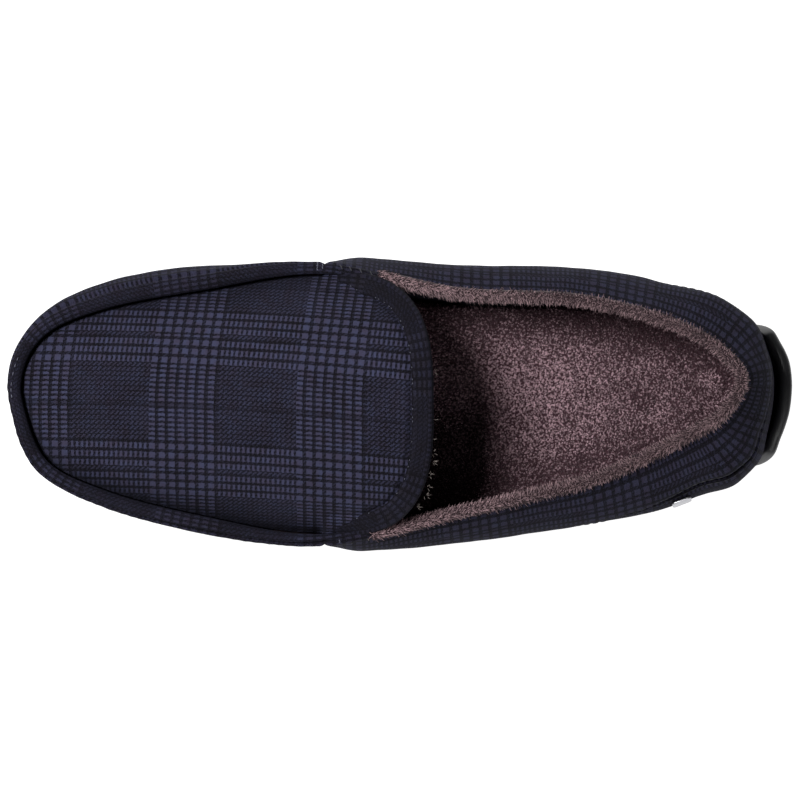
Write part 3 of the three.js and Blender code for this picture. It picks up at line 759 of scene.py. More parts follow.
        # Yarn was dyed in lots, so the pale threads pass from navy to violet every few millimetres
        lot = add_node(tree, "ShaderNodeTexNoise", {}, {"Vector": cloth, "Scale": 230.0, "Detail": 2.0})
        hue = add_node(tree, MATH, {"operation": "MULTIPLY_ADD", "use_clamp": True}, {0: lot, 1: 3.0, 2: -1.0})
        yarn = add_node(
            tree, "ShaderNodeMix", {"data_type": "RGBA"},
            {"Factor": hue, 6: linear(self.violet), 7: linear(self.pale)},
        )
        colour = add_node(
            tree, "ShaderNodeMix", {"data_type": "RGBA"},
            {"Factor": share, 6: linear(self.dark), 7: yarn.outputs[2]},
        )
        relief = add_node(tree, MATH, {"operation": "MULTIPLY_ADD"}, {0: warp_up, 1: 0.4, 2: fuzz})
        close_material(
            tree,
            {
                "Base Color": colour.outputs[2], "Roughness": 0.92, "Specular IOR Level": 0.06,
                "Sheen Weight": 0.03, "Sheen Roughness": 0.5, "Sheen Tint": linear("#9a9cb8"),
            },
            {"Height": relief, "Strength": 0.35, "Distance": 0.00012},
        )
        return material

    def _thread(
        self, tree: bpy.types.NodeTree, coordinate: bpy.types.NodeSocket, pitch: float, start: float
    ) -> bpy.types.Node:
        """Number of the thread at a coordinate.

        Args:
            tree: the material's tree.
            coordinate: metres on the cloth.
            pitch: millimetres from thread to thread.
            start: millimetres added first, which moves the bands.

        Returns:
            The node that gives the number.
        """
        place = add_node(
            tree, MATH, {"operation": "MULTIPLY_ADD"}, {0: coordinate, 1: 1000 / pitch, 2: start / pitch}
        )
        return add_node(tree, MATH, {"operation": "FLOOR"}, {0: place})

    def _stripes(
        self, tree: bpy.types.NodeTree, thread: bpy.types.Node, period: float, band: float, split: bool
    ) -> tuple[bpy.types.Node, bpy.types.Node]:
        """Whether a thread is pale.

        Args:
            tree: the material's tree.
            thread: the thread's number.
            period: threads in one repeat.
            band: threads in the bold band.
            split: a fine group of four threads halves the band.

        Returns:
            Nodes that give 1 for a pale thread, and 1 inside the bold band.
        """
        place = add_node(tree, MATH, {"operation": "FLOORED_MODULO"}, {0: thread, 1: period})
        in_band = add_node(tree, MATH, {"operation": "LESS_THAN"}, {0: place, 1: band - 0.5})
        fine_place = add_node(tree, MATH, {"operation": "FLOORED_MODULO"}, {0: place, 1: 4.0})
        fine = add_node(tree, MATH, {"operation": "LESS_THAN"}, {0: fine_place, 1: 1.5})
        bold_place = place
        if split:
            late = add_node(tree, MATH, {"operation": "GREATER_THAN"}, {0: place, 1: 27.5})
            bold_place = add_node(tree, MATH, {"operation": "MULTIPLY_ADD"}, {0: late, 1: 4.0, 2: place})
            middle = add_node(tree, MATH, {"operation": "COMPARE"}, {0: place, 1: 25.5, 2: 2.1})
            in_band = add_node(tree, MATH, {"operation": "SUBTRACT"}, {0: in_band, 1: middle})
        group = add_node(tree, MATH, {"operation": "FLOORED_MODULO"}, {0: bold_place, 1: 8.0})
        bold = add_node(tree, MATH, {"operation": "LESS_THAN"}, {0: group, 1: 4.5})
        return add_node(tree, "ShaderNodeMix", {}, {"Factor": in_band, "A": fine, "B": bold}), in_band


@dataclass(frozen=True)
class Plush:
    """Polyester plush, knitted and sheared. Each tuft is painted paler at its tip and darker at its root, as painted
    light on the tips and painted shade between the tufts.

    The attribute up rises from 0 at a tuft's root to 1 at its tip; shade differs from tuft to tuft at random and also
    carries the painted light and shade of the carrier, where it has some.
    """

    name: str
    tip: str = "#b0929a"
    root: str = "#37242a"

    def build(self) -> bpy.types.Material:
        """Makes the material, which reads each tuft's shade."""
        material, tree = new_material(self.name)
        shade = add_node(tree, "ShaderNodeAttribute", {"attribute_name": "shade"}, {})
        place = add_node(tree, "ShaderNodeTexCoord", {}, {})
        # Patches where the pile was stroked another way, about 12 mm wide
        patch = add_node(
            tree, "ShaderNodeTexNoise", {},
            {"Vector": place.outputs["Object"], "Scale": 85.0, "Detail": 3.0, "Roughness": 0.65},
        )
        up = add_node(tree, "ShaderNodeAttribute", {"attribute_name": "up"}, {})
        tinted = add_node(
            tree, MATH, {"operation": "MULTIPLY_ADD"}, {0: patch, 1: 0.9, 2: shade.outputs["Fac"]}
        )
        # Painted light and shade: paler towards each tuft's tip, darker towards its root
        both = add_node(tree, MATH, {"operation": "MULTIPLY_ADD"}, {0: up.outputs["Fac"], 1: 0.5, 2: tinted})
        share = add_node(tree, MATH, {"operation": "SUBTRACT", "use_clamp": True}, {0: both, 1: 0.68})
        colour = add_node(
            tree, "ShaderNodeMix", {"data_type": "RGBA"},
            {"Factor": share, 6: linear(self.root), 7: linear(self.tip)},
        )
        fuzz = add_node(
            tree, "ShaderNodeTexNoise", {}, {"Vector": place.outputs["Object"], "Scale": 1500.0, "Detail": 2.0}
        )
        close_material(
            tree,
            {
                "Base Color": colour.outputs[2], "Roughness": 0.85, "Specular IOR Level": 0.15,
                "Sheen Weight": 0.1, "Sheen Roughness": 0.4, "Sheen Tint": linear("#d8c8ca"),
            },
            {"Height": fuzz, "Strength": 0.5, "Distance": 0.0003},
        )
        return material


@dataclass(frozen=True)
class MouldedRubber:
    """Blown rubber from a steel mould: dark, faintly satin, with a fine spark-eroded grain."""

    name: str = "moulded_rubber"
    colour: str = "#1a1a1d"

    def build(self) -> bpy.types.Material:
        """Makes the material."""
        material, tree = new_material(self.name)
        place = add_node(tree, "ShaderNodeTexCoord", {}, {})
        grain = add_node(
            tree, "ShaderNodeTexNoise", {},
            {"Vector": place.outputs["Object"], "Scale": 1400.0, "Detail": 3.0, "Roughness": 0.6},
        )
        dust = add_node(
            tree, "ShaderNodeTexNoise", {}, {"Vector": place.outputs["Object"], "Scale": 45.0, "Detail": 5.0}
        )
        tint = add_node(tree, MATH, {"operation": "MULTIPLY_ADD", "use_clamp": True}, {0: dust, 1: 1.2, 2: -0.4})
        colour = add_node(
            tree, "ShaderNodeMix", {"data_type": "RGBA"},
            {"Factor": tint, 6: linear(self.colour), 7: linear("#27272b")},
        )
        gloss = add_node(tree, MATH, {"operation": "MULTIPLY_ADD"}, {0: dust, 1: 0.25, 2: 0.32})
        close_material(
            tree,
            {"Base Color": colour.outputs[2], "Roughness": gloss, "IOR": 1.5, "Specular IOR Level": 0.5},
            {"Height": grain, "Strength": 0.3, "Distance": 0.0001},
        )
        return material


@dataclass(frozen=True)
class BrushedSteel:
    """Thin stamped steel, brushed along its length, which draws highlights out sideways."""

    name: str = "brushed_steel"

    def build(self) -> bpy.types.Material:
        """Makes the material."""
        material, tree = new_material(self.name)
        place = add_node(tree, "ShaderNodeTexCoord", {}, {})
        # Scratches 0.1 mm wide and some millimetres long
        stretch = add_node(
            tree, "ShaderNodeMapping", {}, {"Vector": place.outputs["Object"], "Scale": (300.0, 300.0, 6000.0)}
        )
        scratch = add_node(tree, "ShaderNodeTexNoise", {}, {"Vector": stretch, "Scale": 1.0, "Detail": 2.0})
        gloss = add_node(tree, MATH, {"operation": "MULTIPLY_ADD"}, {0: scratch, 1: 0.3, 2: 0.22})
        close_material(
            tree,
            {"Base Color": linear("#a4a4a8"), "Metallic": 1.0, "Roughness": gloss},
            {"Height": scratch, "Strength": 0.2, "Distance": 0.00005},
        )
        return material


@dataclass(frozen=True)
class Thread:
    """Spun polyester sewing thread: two plies twisted, slightly glossy."""

    name: str
    colour: str

    def build(self) -> bpy.types.Material:
        """Makes the material."""
        material, tree = new_material(self.name)
        place = add_node(tree, "ShaderNodeTexCoord", {}, {})
        ply = add_node(
            tree, "ShaderNodeTexNoise", {}, {"Vector": place.outputs["Object"], "Scale": 2500.0, "Detail": 1.0}
        )
        colour = add_node(
            tree, "ShaderNodeMix", {"data_type": "RGBA"},
            {"Factor": ply, 6: linear("#101015"), 7: linear(self.colour)},
        )
        close_material(
            tree,
            {"Base Color": colour.outputs[2], "Roughness": 0.6, "Sheen Weight": 0.0},
            {"Height": ply, "Strength": 0.5, "Distance": 0.0001},
        )
        return material


# Pile and stitches


@dataclass(frozen=True)
class Pile:
    """Tufts planted on a carrier. Lengths in millimetres, density in tufts a square millimetre."""

    length: float
    radius: float
    density: float
    lean: float
    scatter: float
    seed: int
    bend: bool = False

    def _tuft(self) -> bpy.types.Object:
        """One closed tapered tuft standing on the origin."""
        bm = bmesh.new()
        height = self.length / 1000
        bmesh.ops.create_cone(
            bm, cap_ends=True, cap_tris=True, segments=3, radius1=self.radius / 1000,
            radius2=self.radius / 5000 if self.bend else 0.0, depth=height,
        )
        bmesh.ops.translate(bm, verts=bm.verts, vec=(0, 0, height * 0.42))
        if self.bend:
            sides = [edge for edge in bm.edges if abs(edge.verts[0].co.z - edge.verts[1].co.z) > height / 2]
            bmesh.ops.subdivide_edges(bm, edges=sides, cuts=1, use_grid_fill=False)
            for vert in bm.verts:
                vert.co.x += 0.35 * height * max(0.0, vert.co.z / height) ** 2
        bmesh.ops.remove_doubles(bm, verts=bm.verts, dist=1e-7)
        bmesh.ops.triangulate(bm, faces=bm.faces)
        piece = finish_mesh("tuft_pattern", bm, 1e-8)
        lowest = min(vert.co.z for vert in piece.data.vertices)
        write_values(piece, "up", [(vert.co.z - lowest) / height for vert in piece.data.vertices])
        return piece

    def grow(self, carrier: bpy.types.Object, name: str, material: bpy.types.Material) -> bpy.types.Object:
        """Plants the tufts.

        Args:
            carrier: piece with the attributes comb, a direction, and growth, from 0 to 1.
            name: name of the new piece.
            material: the tufts' material.

        Returns:
            One piece with all tufts joined.
        """
        tuft = dress(self._tuft(), material)
        tree = bpy.data.node_groups.new(name, "GeometryNodeTree")
        tree.interface.new_socket("Geometry", in_out="INPUT", socket_type="NodeSocketGeometry")
        tree.interface.new_socket("Geometry", in_out="OUTPUT", socket_type="NodeSocketGeometry")
        start = add_node(tree, "NodeGroupInput", {}, {})
        comb = add_node(tree, "GeometryNodeInputNamedAttribute", {"data_type": "FLOAT_VECTOR"}, {"Name": "comb"})
        growth = add_node(tree, "GeometryNodeInputNamedAttribute", {"data_type": "FLOAT"}, {"Name": "growth"})
        thick = add_node(tree, MATH, {"operation": "MULTIPLY"}, {0: growth, 1: self.density * 1e6})
        plant = add_node(
            tree, "GeometryNodeDistributePointsOnFaces", {}, {"Mesh": start, "Density": thick, "Seed": self.seed}
        )
        stray = add_node(
            tree, "FunctionNodeRandomValue", {"data_type": "FLOAT_VECTOR"},
            {0: (-self.scatter,) * 3, 1: (self.scatter,) * 3, "Seed": self.seed + 1},
        )
        leaning = add_node(
            tree, "ShaderNodeVectorMath", {"operation": "MULTIPLY_ADD"},
            {0: comb, 1: (self.lean,) * 3, 2: plant.outputs["Normal"]},
        )
        heading = add_node(tree, "ShaderNodeVectorMath", {"operation": "ADD"}, {0: leaning, 1: stray})
        turned = add_node(tree, "FunctionNodeAlignRotationToVector", {"axis": "Z"}, {"Vector": heading})
        sizes = add_node(
            tree, "FunctionNodeRandomValue", {"data_type": "FLOAT"}, {2: 0.6, 3: 1.15, "Seed": self.seed + 2}
        )
        planted = add_node(
            tree, "GeometryNodeInstanceOnPoints", {},
            {
                "Points": plant, "Rotation": turned, "Scale": sizes.outputs[1],
                "Instance": add_node(
                    tree, "GeometryNodeObjectInfo", {}, {"Object": tuft}
                ).outputs["Geometry"],
            },
        )
        chance = add_node(
            tree, "FunctionNodeRandomValue", {"data_type": "FLOAT"}, {2: 0.0, 3: 1.0, "Seed": self.seed + 3}
        )
        # The carrier's shade, which holds painted light and shade, is added to each tuft's random tone
        ground = add_node(tree, "GeometryNodeInputNamedAttribute", {"data_type": "FLOAT"}, {"Name": "shade"})
        tint = add_node(tree, MATH, {"operation": "ADD"}, {0: chance.outputs[1], 1: ground})
        stored = add_node(
            tree, "GeometryNodeStoreNamedAttribute", {"data_type": "FLOAT", "domain": "INSTANCE"},
            {"Geometry": planted, "Name": "shade", "Value": tint},
        )
        real = add_node(tree, "GeometryNodeRealizeInstances", {}, {"Geometry": stored})
        add_node(tree, "NodeGroupOutput", {}, {0: real})
        seedbed = carrier.copy()
        bpy.context.scene.collection.objects.link(seedbed)
        modifier = seedbed.modifiers.new("pile", "NODES")
        modifier.node_group = tree
        bpy.context.view_layer.update()
        shape = seedbed.evaluated_get(bpy.context.evaluated_depsgraph_get())
        mesh = bpy.data.meshes.new_from_object(shape)
        mesh.name = name
        piece = bpy.data.objects.new(name, mesh)
        bpy.context.scene.collection.objects.link(piece)
        for spare in (seedbed, tuft):
            bpy.data.objects.remove(spare)
        return dress(piece, material)


@dataclass
class Seam:
    """Stitches collected into one piece. Lengths in millimetres."""

    name: str
    material: bpy.types.Material
    radius: float = 0.22
    bm: bmesh.types.BMesh = field(default_factory=bmesh.new)

    def stitch(self, start: Vector, end: Vector, radius: float | None = None) -> None:
        """Adds one stitch.

        Args:
            start: first end, on the last.
            end: second end.
            radius: half the thread's width, where it isn't the seam's own.
        """
        a, b = LAST.to_frame(start), LAST.to_frame(end)
        along = b - a
        thick = (radius or self.radius) / 1000
        size = Matrix.Diagonal((thick, thick, along.length / 2 + thick * 0.4, 1))
        place = Matrix.Translation((a + b) / 2) @ along.to_track_quat("Z", "Y").to_matrix().to_4x4() @ size
        bmesh.ops.create_uvsphere(self.bm, u_segments=6, v_segments=4, radius=1, matrix=place)

    def run(self, path: Sequence[Vector], length: float, gap: float, skip: float = -1.0) -> None:
        """Adds stitches along a path.

        Args:
            path: points on the last, closer together than a stitch.
            length: length of one stitch.
            gap: space between stitches.
            skip: stitches sunk in the cloth, where soft noise lies below this, are left out.
        """
        travelled = 0.0
        begin = path[0]
        for before, point in zip(path, path[1:]):
            travelled += (point - before).length
            if begin is None and travelled >= gap:
                begin, travelled = point, 0.0
            elif begin is not None and travelled >= length:
                if soft_noise(point, 1.3, 21.0) > skip:
                    self.stitch(begin, point)
                begin, travelled = None, 0.0

    def make(self) -> bpy.types.Object:
        """Closes the piece and puts it on the shoe."""
        return ride(dress(finish_mesh(self.name, self.bm, 1e-9), self.material), "binding_cloth")


# Pieces


@dataclass
class Materials:
    """Every finish of the shoe, built once."""

    check: bpy.types.Material = field(default_factory=lambda: BrushedCheck("brushed_glen_check").build())
    # The walls' check: darker and lower in contrast than on the plug, partly the muted nap of the stretched cloth and
    # partly painted shade on the steep walls; over the seam roll it is darker still
    rolled_check: bpy.types.Material = field(
        default_factory=lambda: BrushedCheck(
            "rolled_glen_check", "#343549", "#312d3e", contrast=0.62, dulled_from=23.2
        ).build()
    )
    # The binding's check: a darker, lower-contrast copy of the check cloth, as painted shade on the turned fold
    binding_check_shaded: bpy.types.Material = field(
        default_factory=lambda: BrushedCheck("faint_check_tape", "#2b2b3c", "#28252f", "#0b0a0e", contrast=0.45).build()
    )
    plush: bpy.types.Material = field(default_factory=lambda: Plush("sheared_plush").build())
    collar_plush: bpy.types.Material = field(
        default_factory=lambda: Plush("turned_plush", "#a1868a", "#2e2226").build()
    )
    rubber: bpy.types.Material = field(default_factory=lambda: MouldedRubber().build())
    steel: bpy.types.Material = field(default_factory=lambda: BrushedSteel().build())
    pale_thread: bpy.types.Material = field(default_factory=lambda: Thread("pale_thread", "#77798c").build())
    lint: bpy.types.Material = field(default_factory=lambda: Thread("lining_lint", "#756a64").build())
    dark_thread: bpy.types.Material = field(default_factory=lambda: Thread("navy_thread", "#20202c").build())


@dataclass
class Upper:
    """Side band and quarters: one wall with the seam roll and the padded collar in it."""

    turns: int = 960
    seam_depth: float = 1.7
    seam_below: float = 1.6
    seam_over: float = 1.5
    gather_pitch: float = 4.3
    gather_depth: float = 0.2
    band_top: float = 23.7

    def relief(self, turn: float, rise: float) -> float:
        """Creases of the wall.

        Args:
            turn: place around.
            rise: millimetres above the top of the wall, over the roll; below zero down the wall.

        Returns:
            How far the surface stands out.
        """
        front = 1 - LAST.quarter_share(turn)
        x = LAST.cloth_x(turn)
        medial = smoothstep(math.sin(math.radians(turn)), -0.3, 0.3)
        seam = mix(self.seam_over, -self.seam_below, medial)
        roll = 0.35 * hill(rise, seam - 2.6, 1.4) - self.seam_depth * hill(rise, seam, 0.75)
        place = Vector((x, 30.0 if turn <= 180 else -30.0, rise))
        pucker = math.sin(2 * math.pi * x / self.gather_pitch + 3 * soft_noise(place, 9.0, 3.0))
        uneven = smoothstep(soft_noise(place, 26.0, 4.0), -0.5, 0.5)
        gathers = self.gather_depth * uneven * pucker * hill(rise, seam, 2.4)
        swell = 0.45 * soft_noise(place, 22.0, 1.0) + 0.16 * soft_noise(place, 7.0, 2.0)
        tack = LAST.tacks()[1 if turn <= 180 else 0].x
        side_seam = -0.8 * hill(LAST.outline(turn).x, tack + 0.8, 0.9)
        return front * (roll + gathers) + swell + side_seam

    def over_roll(self, turn: float, angle: float, rise: float = 0.0) -> Vector:
        """Point over the wall's rounded top.

        Args:
            turn: place around.
            angle: 0 outside, half a turn inside.
            rise: millimetres above the cloth.

        Returns:
            The point on the last.
        """
        radius = LAST.bead_radius(turn)
        up, _, out = LAST.axes(turn, 1)
        reach = radius + rise + self.relief(turn, radius * angle) * (1 - smoothstep(angle, 1.2, 2.6))
        return LAST.offset(turn, 1, -radius) + out * (reach * math.cos(angle)) + up * (reach * math.sin(angle))

    def profile(self, turn: float) -> list[tuple[Vector, float]]:
        """Closed section through the wall."""
        tall = LAST.wall_height(turn)
        radius = LAST.bead_radius(turn)
        corners: list[tuple[Vector, float]] = []
        for share in steps(40, 0, 1):
            height = 1 - (1 - share) ** 1.35
            below = (1 - height) * tall
            stand = LAST.padding(turn, height) + self.relief(turn, -below) * smoothstep(height, 0.0, 0.12)
            corners.append((LAST.offset(turn, height, stand), self.band_top - below))
        for angle in steps(18, 0, math.pi)[1:-1]:
            corners.append((self.over_roll(turn, angle), self.band_top + radius * angle))
        for below in (0.0, 1.5, 3.0, 6.0, 10.0, 16.0, tall * 0.6, tall * 0.8, tall):
            height = 1 - min(below, tall) / tall
            point = LAST.offset(turn, height, -LAST.thickness(turn, height))
            corners.append((point, self.band_top + math.pi * radius + below))
        return corners

    def build(self, finishes: Materials) -> bpy.types.Object:
        """Makes the wall."""
        piece = wrap("upper_wall", steps(self.turns, 0, 360), self.profile, True)
        # The wall's darker check is partly painted shade
        return ride(dress(piece, finishes.rolled_check), "check_cloth", "upper")


@dataclass
class Plug:
    """Arched top panel with its tongue."""

    rows_front: int = 160
    rows_tongue: int = 50
    columns: int = 120
    edge_drop: float = 4.6
    edge_fall: float = 1.6
    edge_fall_outer: float = 3.0
    edge_drop_outer: float = 7.0
    groove: float = 1.6
    groove_in: float = 6.6
    middle_row: float = 402.0
    row_start: float = 16.2
    row_bend: float = 6.3
    column_lean: float = 3.5

    def __post_init__(self) -> None:
        """Prepares the tongue's edge for distances."""
        self.edge = kdtree.KDTree(401)
        for i, across in enumerate(steps(400, -1, 1)):
            self.edge.insert(LAST.tongue_edge(math.sin(across * math.pi / 2)), i)
        self.edge.balance()

    def valley(self, across: float, from_edge: float) -> float:
        """Depth of the valley beside the roll, which is wider on the outer side."""
        outer = smoothstep(-across, 0.0, 0.8)
        fall = mix(self.edge_fall, self.edge_fall_outer, outer)
        return mix(self.edge_drop, self.edge_drop_outer, outer) * math.exp(-from_edge / fall)

    def relief(self, point: Vector, from_edge: float) -> float:
        """Soft folds and the puckers beside the roll.

        Args:
            point: place on the plug.
            from_edge: millimetres from its sewn edge.

        Returns:
            How far it stands up.
        """
        puckers = 0.28 * math.sin(2 * math.pi * point.x / 5.2 + 4 * soft_noise(point, 12.0, 5.0))
        folds = 0.55 * soft_noise(point, 30.0, 6.0) + 0.2 * soft_noise(point, 11.0, 7.0)
        return puckers * math.exp(-from_edge / 3.0) + folds * smoothstep(from_edge, 0.0, 8.0)

    def place(self, i: int, j: int) -> tuple[Vector, tuple[float, float]]:
        """Corner of the plug's upper side.

        Args:
            i: column, from the lateral side.
            j: row, from the toe.

        Returns:
            The point and its cloth coordinates.
        """
        across = math.sin(mix(-1, 1, i / self.columns) * math.pi / 2)
        if j <= self.rows_front:
            turn = LAST.tack_turn * j / self.rows_front
            lateral, medial = LAST.plug_edge(-turn), LAST.plug_edge(turn)
            point = LAST.arch(lateral, medial, across)
            half = (medial - lateral).length / 2
            from_edge = half * (1 - abs(across))
            from_tip = point.x - LAST.plug_edge(0).x
            from_edge = min(from_edge, from_tip * 1.4)
            point.z -= self.valley(across, from_edge)
            point.z += self.relief(point, from_edge)
        else:
            share = (j - self.rows_front) / self.rows_tongue
            lateral, medial = LAST.tacks()
            tack = lateral.lerp(medial, (across + 1) / 2)
            x = mix(tack.x, LAST.tongue_edge(across).x, share)
            point = LAST.tongue(x, tack.y)
            _, _, inwards = self.edge.find(Vector((x, tack.y, 0)))
            half = (medial - lateral).length / 2
            near = half * (1 - abs(across)) + 60 * share
            point.z -= self.valley(across, near)
            point.z -= self.groove * hill(inwards, self.groove_in, 0.9) * smoothstep(share, 0.02, 0.12)
            point.z += self.relief(point, min(half * (1 - abs(across)), 8.0)) * smoothstep(inwards, 4.0, 9.0)
        return point, self.cloth_at(point)

    def cloth_at(self, point: Vector) -> tuple[float, float]:
        """Cloth coordinates: its middle row bends outwards behind, its columns lean on the medial side."""
        x = point.x + LAST.shift().x
        y = point.y + LAST.shift().y - (405.5 - self.middle_row) * LAST.photo_scale
        bent = self.row_bend * max(0.0, (x + 138.4) / 127.1) ** 2
        around = y * (1 + 0.1 * (y / 32) ** 2)
        lean = self.column_lean * (max(0.0, y) / 34) ** 1.6
        return x - lean, around + bent - self.row_start

    def build(self, finishes: Materials) -> bpy.types.Object:
        """Makes the panel with its lower side."""
        bm = bmesh.new()
        lay_grid(bm, self.columns, self.rows_front + self.rows_tongue, self.place)
        piece = finish_mesh("plug_panel", bm)
        if sum(face.normal.z * face.area for face in piece.data.polygons) < 0:
            piece.data.flip_normals()
        wall = piece.modifiers.new("thickness", "SOLIDIFY")
        wall.thickness = LAST.plug_thickness / 1000
        wall.offset = -1.0
        return ride(dress(piece, finishes.check), "check_cloth", "plug")


@dataclass
class ThroatBinding:
    """Cloth strip folded over the tongue's free edge and stitched down."""

    along: int = 260
    reach_top: float = 6.3
    reach_end: float = 2.4
    reach_under: float = 4.4
    stand: float = 1.3
    stand_end: float = 0.5
    stitch_in: float = 6.0

    def frame_at(self, across: float) -> tuple[Vector, Vector]:
        """Edge point and outward direction in plan."""
        before = LAST.tongue_edge(max(-1.0, across - 0.003))
        after = LAST.tongue_edge(min(1.0, across + 0.003))
        along = (after - before).normalized()
        return LAST.tongue_edge(across), Vector((along.y, -along.x, 0))

    def on_tongue(self, across: float, inwards: float, rise: float) -> Vector:
        """Point above the tongue, a distance inside its edge."""
        edge, out = self.frame_at(across)
        plan = edge - out * inwards
        point = LAST.tongue(plan.x, plan.y)
        point.z += rise
        return point

    def fullness(self, across: float) -> float:
        """1 around the tongue, and less towards the strip's ends beside the tacks."""
        return smoothstep(math.acos(min(1.0, abs(across))), 0.03, 0.24)

    def profile(self, across: float) -> list[tuple[Vector, float]]:
        """Closed section through the fold."""
        _, out = self.frame_at(across)
        gap = LAST.clearance
        length = across * 60
        full = self.fullness(across)
        top = mix(self.reach_end, self.reach_top, full)
        stand = mix(self.stand_end, self.stand, full)
        swell = 0.25 * soft_noise(Vector((length, 0, 0)), 6.0, 8.0)
        outer: list[tuple[Vector, float]] = []
        for inwards in steps(9, top, 0.4):
            share = 1 - inwards / top
            rise = gap + (stand + swell) * math.sqrt(max(0.0, 1 - (1 - min(1.0, share * 2.2)) ** 2))
            outer.append((self.on_tongue(across, inwards, rise - 0.5 * (1 - smoothstep(share, 0, 0.2))), -inwards))
        high = gap + stand + swell
        low = -LAST.plug_thickness - gap - self.stand
        radius, centre = (high - low) / 2, (high + low) / 2
        for angle in steps(8, math.pi / 2, -math.pi / 2):
            point = self.on_tongue(across, 0, centre + radius * math.sin(angle))
            outer.append((point + out * (0.62 * radius * math.cos(angle)), radius * (math.pi / 2 - angle)))
        for inwards in steps(3, 0, self.reach_under)[1:]:
            outer.append((self.on_tongue(across, inwards, low), 8 + inwards))
        inner = [(self.on_tongue(across, inwards, low + self.stand), 14.0) for inwards in (self.reach_under, 0.3)]
        inner += [(self.on_tongue(across, inwards, gap), 16.0) for inwards in (0.3, top)]
        return outer + inner

    def build(self, finishes: Materials) -> list[bpy.types.Object]:
        """Makes the strip and its stitches."""
        places = [math.sin(angle * math.pi / 2) for angle in steps(self.along, -0.972, 0.972)]
        loops = [self.profile(across) for across in places]
        lengths = [0.0]
        for a, b in zip(places, places[1:]):
            lengths.append(lengths[-1] + (LAST.tongue_edge(b) - LAST.tongue_edge(a)).length)
        count = len(loops[0])

        def place(i: int, j: int) -> tuple[Vector, tuple[float, float]]:
            """Corner j of section i."""
            point, height = loops[i][j % count]
            return point, (lengths[i], height)

        bm = bmesh.new()
        lay_grid(bm, self.along, count, place)
        bmesh.ops.remove_doubles(bm, verts=bm.verts, dist=1e-6)
        bmesh.ops.holes_fill(bm, edges=[edge for edge in bm.edges if edge.is_boundary], sides=0)
        # The strip's darker check is painted shade
        strip = ride(dress(finish_mesh("throat_strip", bm), finishes.binding_check_shaded), "binding_cloth", "throat_binding")
        seam = Seam("binding_stitches", finishes.pale_thread, 0.11)
        path = []
        for angle in steps(900, -0.95, 0.95):
            across = math.sin(angle * math.pi / 2)
            inwards = mix(self.reach_end, self.stitch_in, self.fullness(across))
            path.append(self.on_tongue(across, inwards, 0.75))
        seam.run(path, 0.5, 0.8, 0.12)
        return [strip, seam.make()]


@dataclass
class PlushCollar:
    """Plush lining turned over the top edge, with its pile combed into the shoe."""

    turns: int = 420
    first: float = 88.5
    last: float = 272.5

    def profile(self, turn: float) -> list[tuple[Vector, float]]:
        """Closed section through the folded fleece."""
        inner_skin, outer_skin = LAST.clearance, LAST.clearance + LAST.plush_thickness

        def skin(distance: float) -> list[tuple[Vector, float]]:
            """One face of the fleece, from outside over the edge to inside."""
            radius = LAST.bead_radius(turn)
            up, _, out = LAST.axes(turn, 1)
            middle = LAST.offset(turn, 1, -radius)
            outside = LAST.plush_outside * smoothstep(min(turn - self.first, self.last - turn), -1.0, 5.0)
            corners = [(LAST.offset(turn, LAST.below_top(turn, outside), distance), 0.0)]
            for angle in steps(10, 0, math.pi):
                reach = radius + mix(distance, 0.45 * distance, smoothstep(angle, 1.3, 2.8))
                point = middle + out * (reach * math.cos(angle)) + up * (reach * math.sin(angle))
                corners.append((point, 1 + reach * angle))
            for below in steps(5, 0, LAST.plush_inside)[1:]:
                height = LAST.below_top(turn, below)
                point = LAST.offset(turn, height, -LAST.thickness(turn, height) - 0.45 * distance)
                corners.append((point, 10 + below))
            return corners

        return skin(outer_skin) + skin(inner_skin)[::-1]

    def build(self, finishes: Materials) -> list[bpy.types.Object]:
        """Makes the fleece and its pile."""
        turns = steps(self.turns, self.first, self.last)
        carrier = wrap("plush_fold", turns, self.profile, False)
        comb, growth, shade = [], [], []
        shift = LAST.shift()
        middle_line = Vector((180.0, 0.0, 0.0))
        for vert in carrier.data.vertices:
            point = vert.co * 1000 - shift
            inwards = middle_line - point
            inwards.z = 0
            comb.append(inwards.normalized() + Vector((0, 0, -0.25)))
            growth.append(smoothstep(vert.normal.z, 0.45, 0.8))
            # Painted shade: the fleece is darker where it faces sideways or down, on the fold's inner flank
            shade.append(mix(-0.5, 0.05, smoothstep(vert.normal.z, 0.2, 0.8)))
        write_values(carrier, "comb", comb)
        write_values(carrier, "growth", growth)
        write_values(carrier, "shade", shade)
        dress(carrier, finishes.collar_plush)
        pile = Pile(1.5, 0.24, 4.8, 0.6, 0.35, 11, True)
        tufts = pile.grow(carrier, "plush_fold_pile", finishes.collar_plush)
        ride(carrier, "plush", "plush_collar")
        return [carrier, ride(tufts, "plush", "plush_collar")]


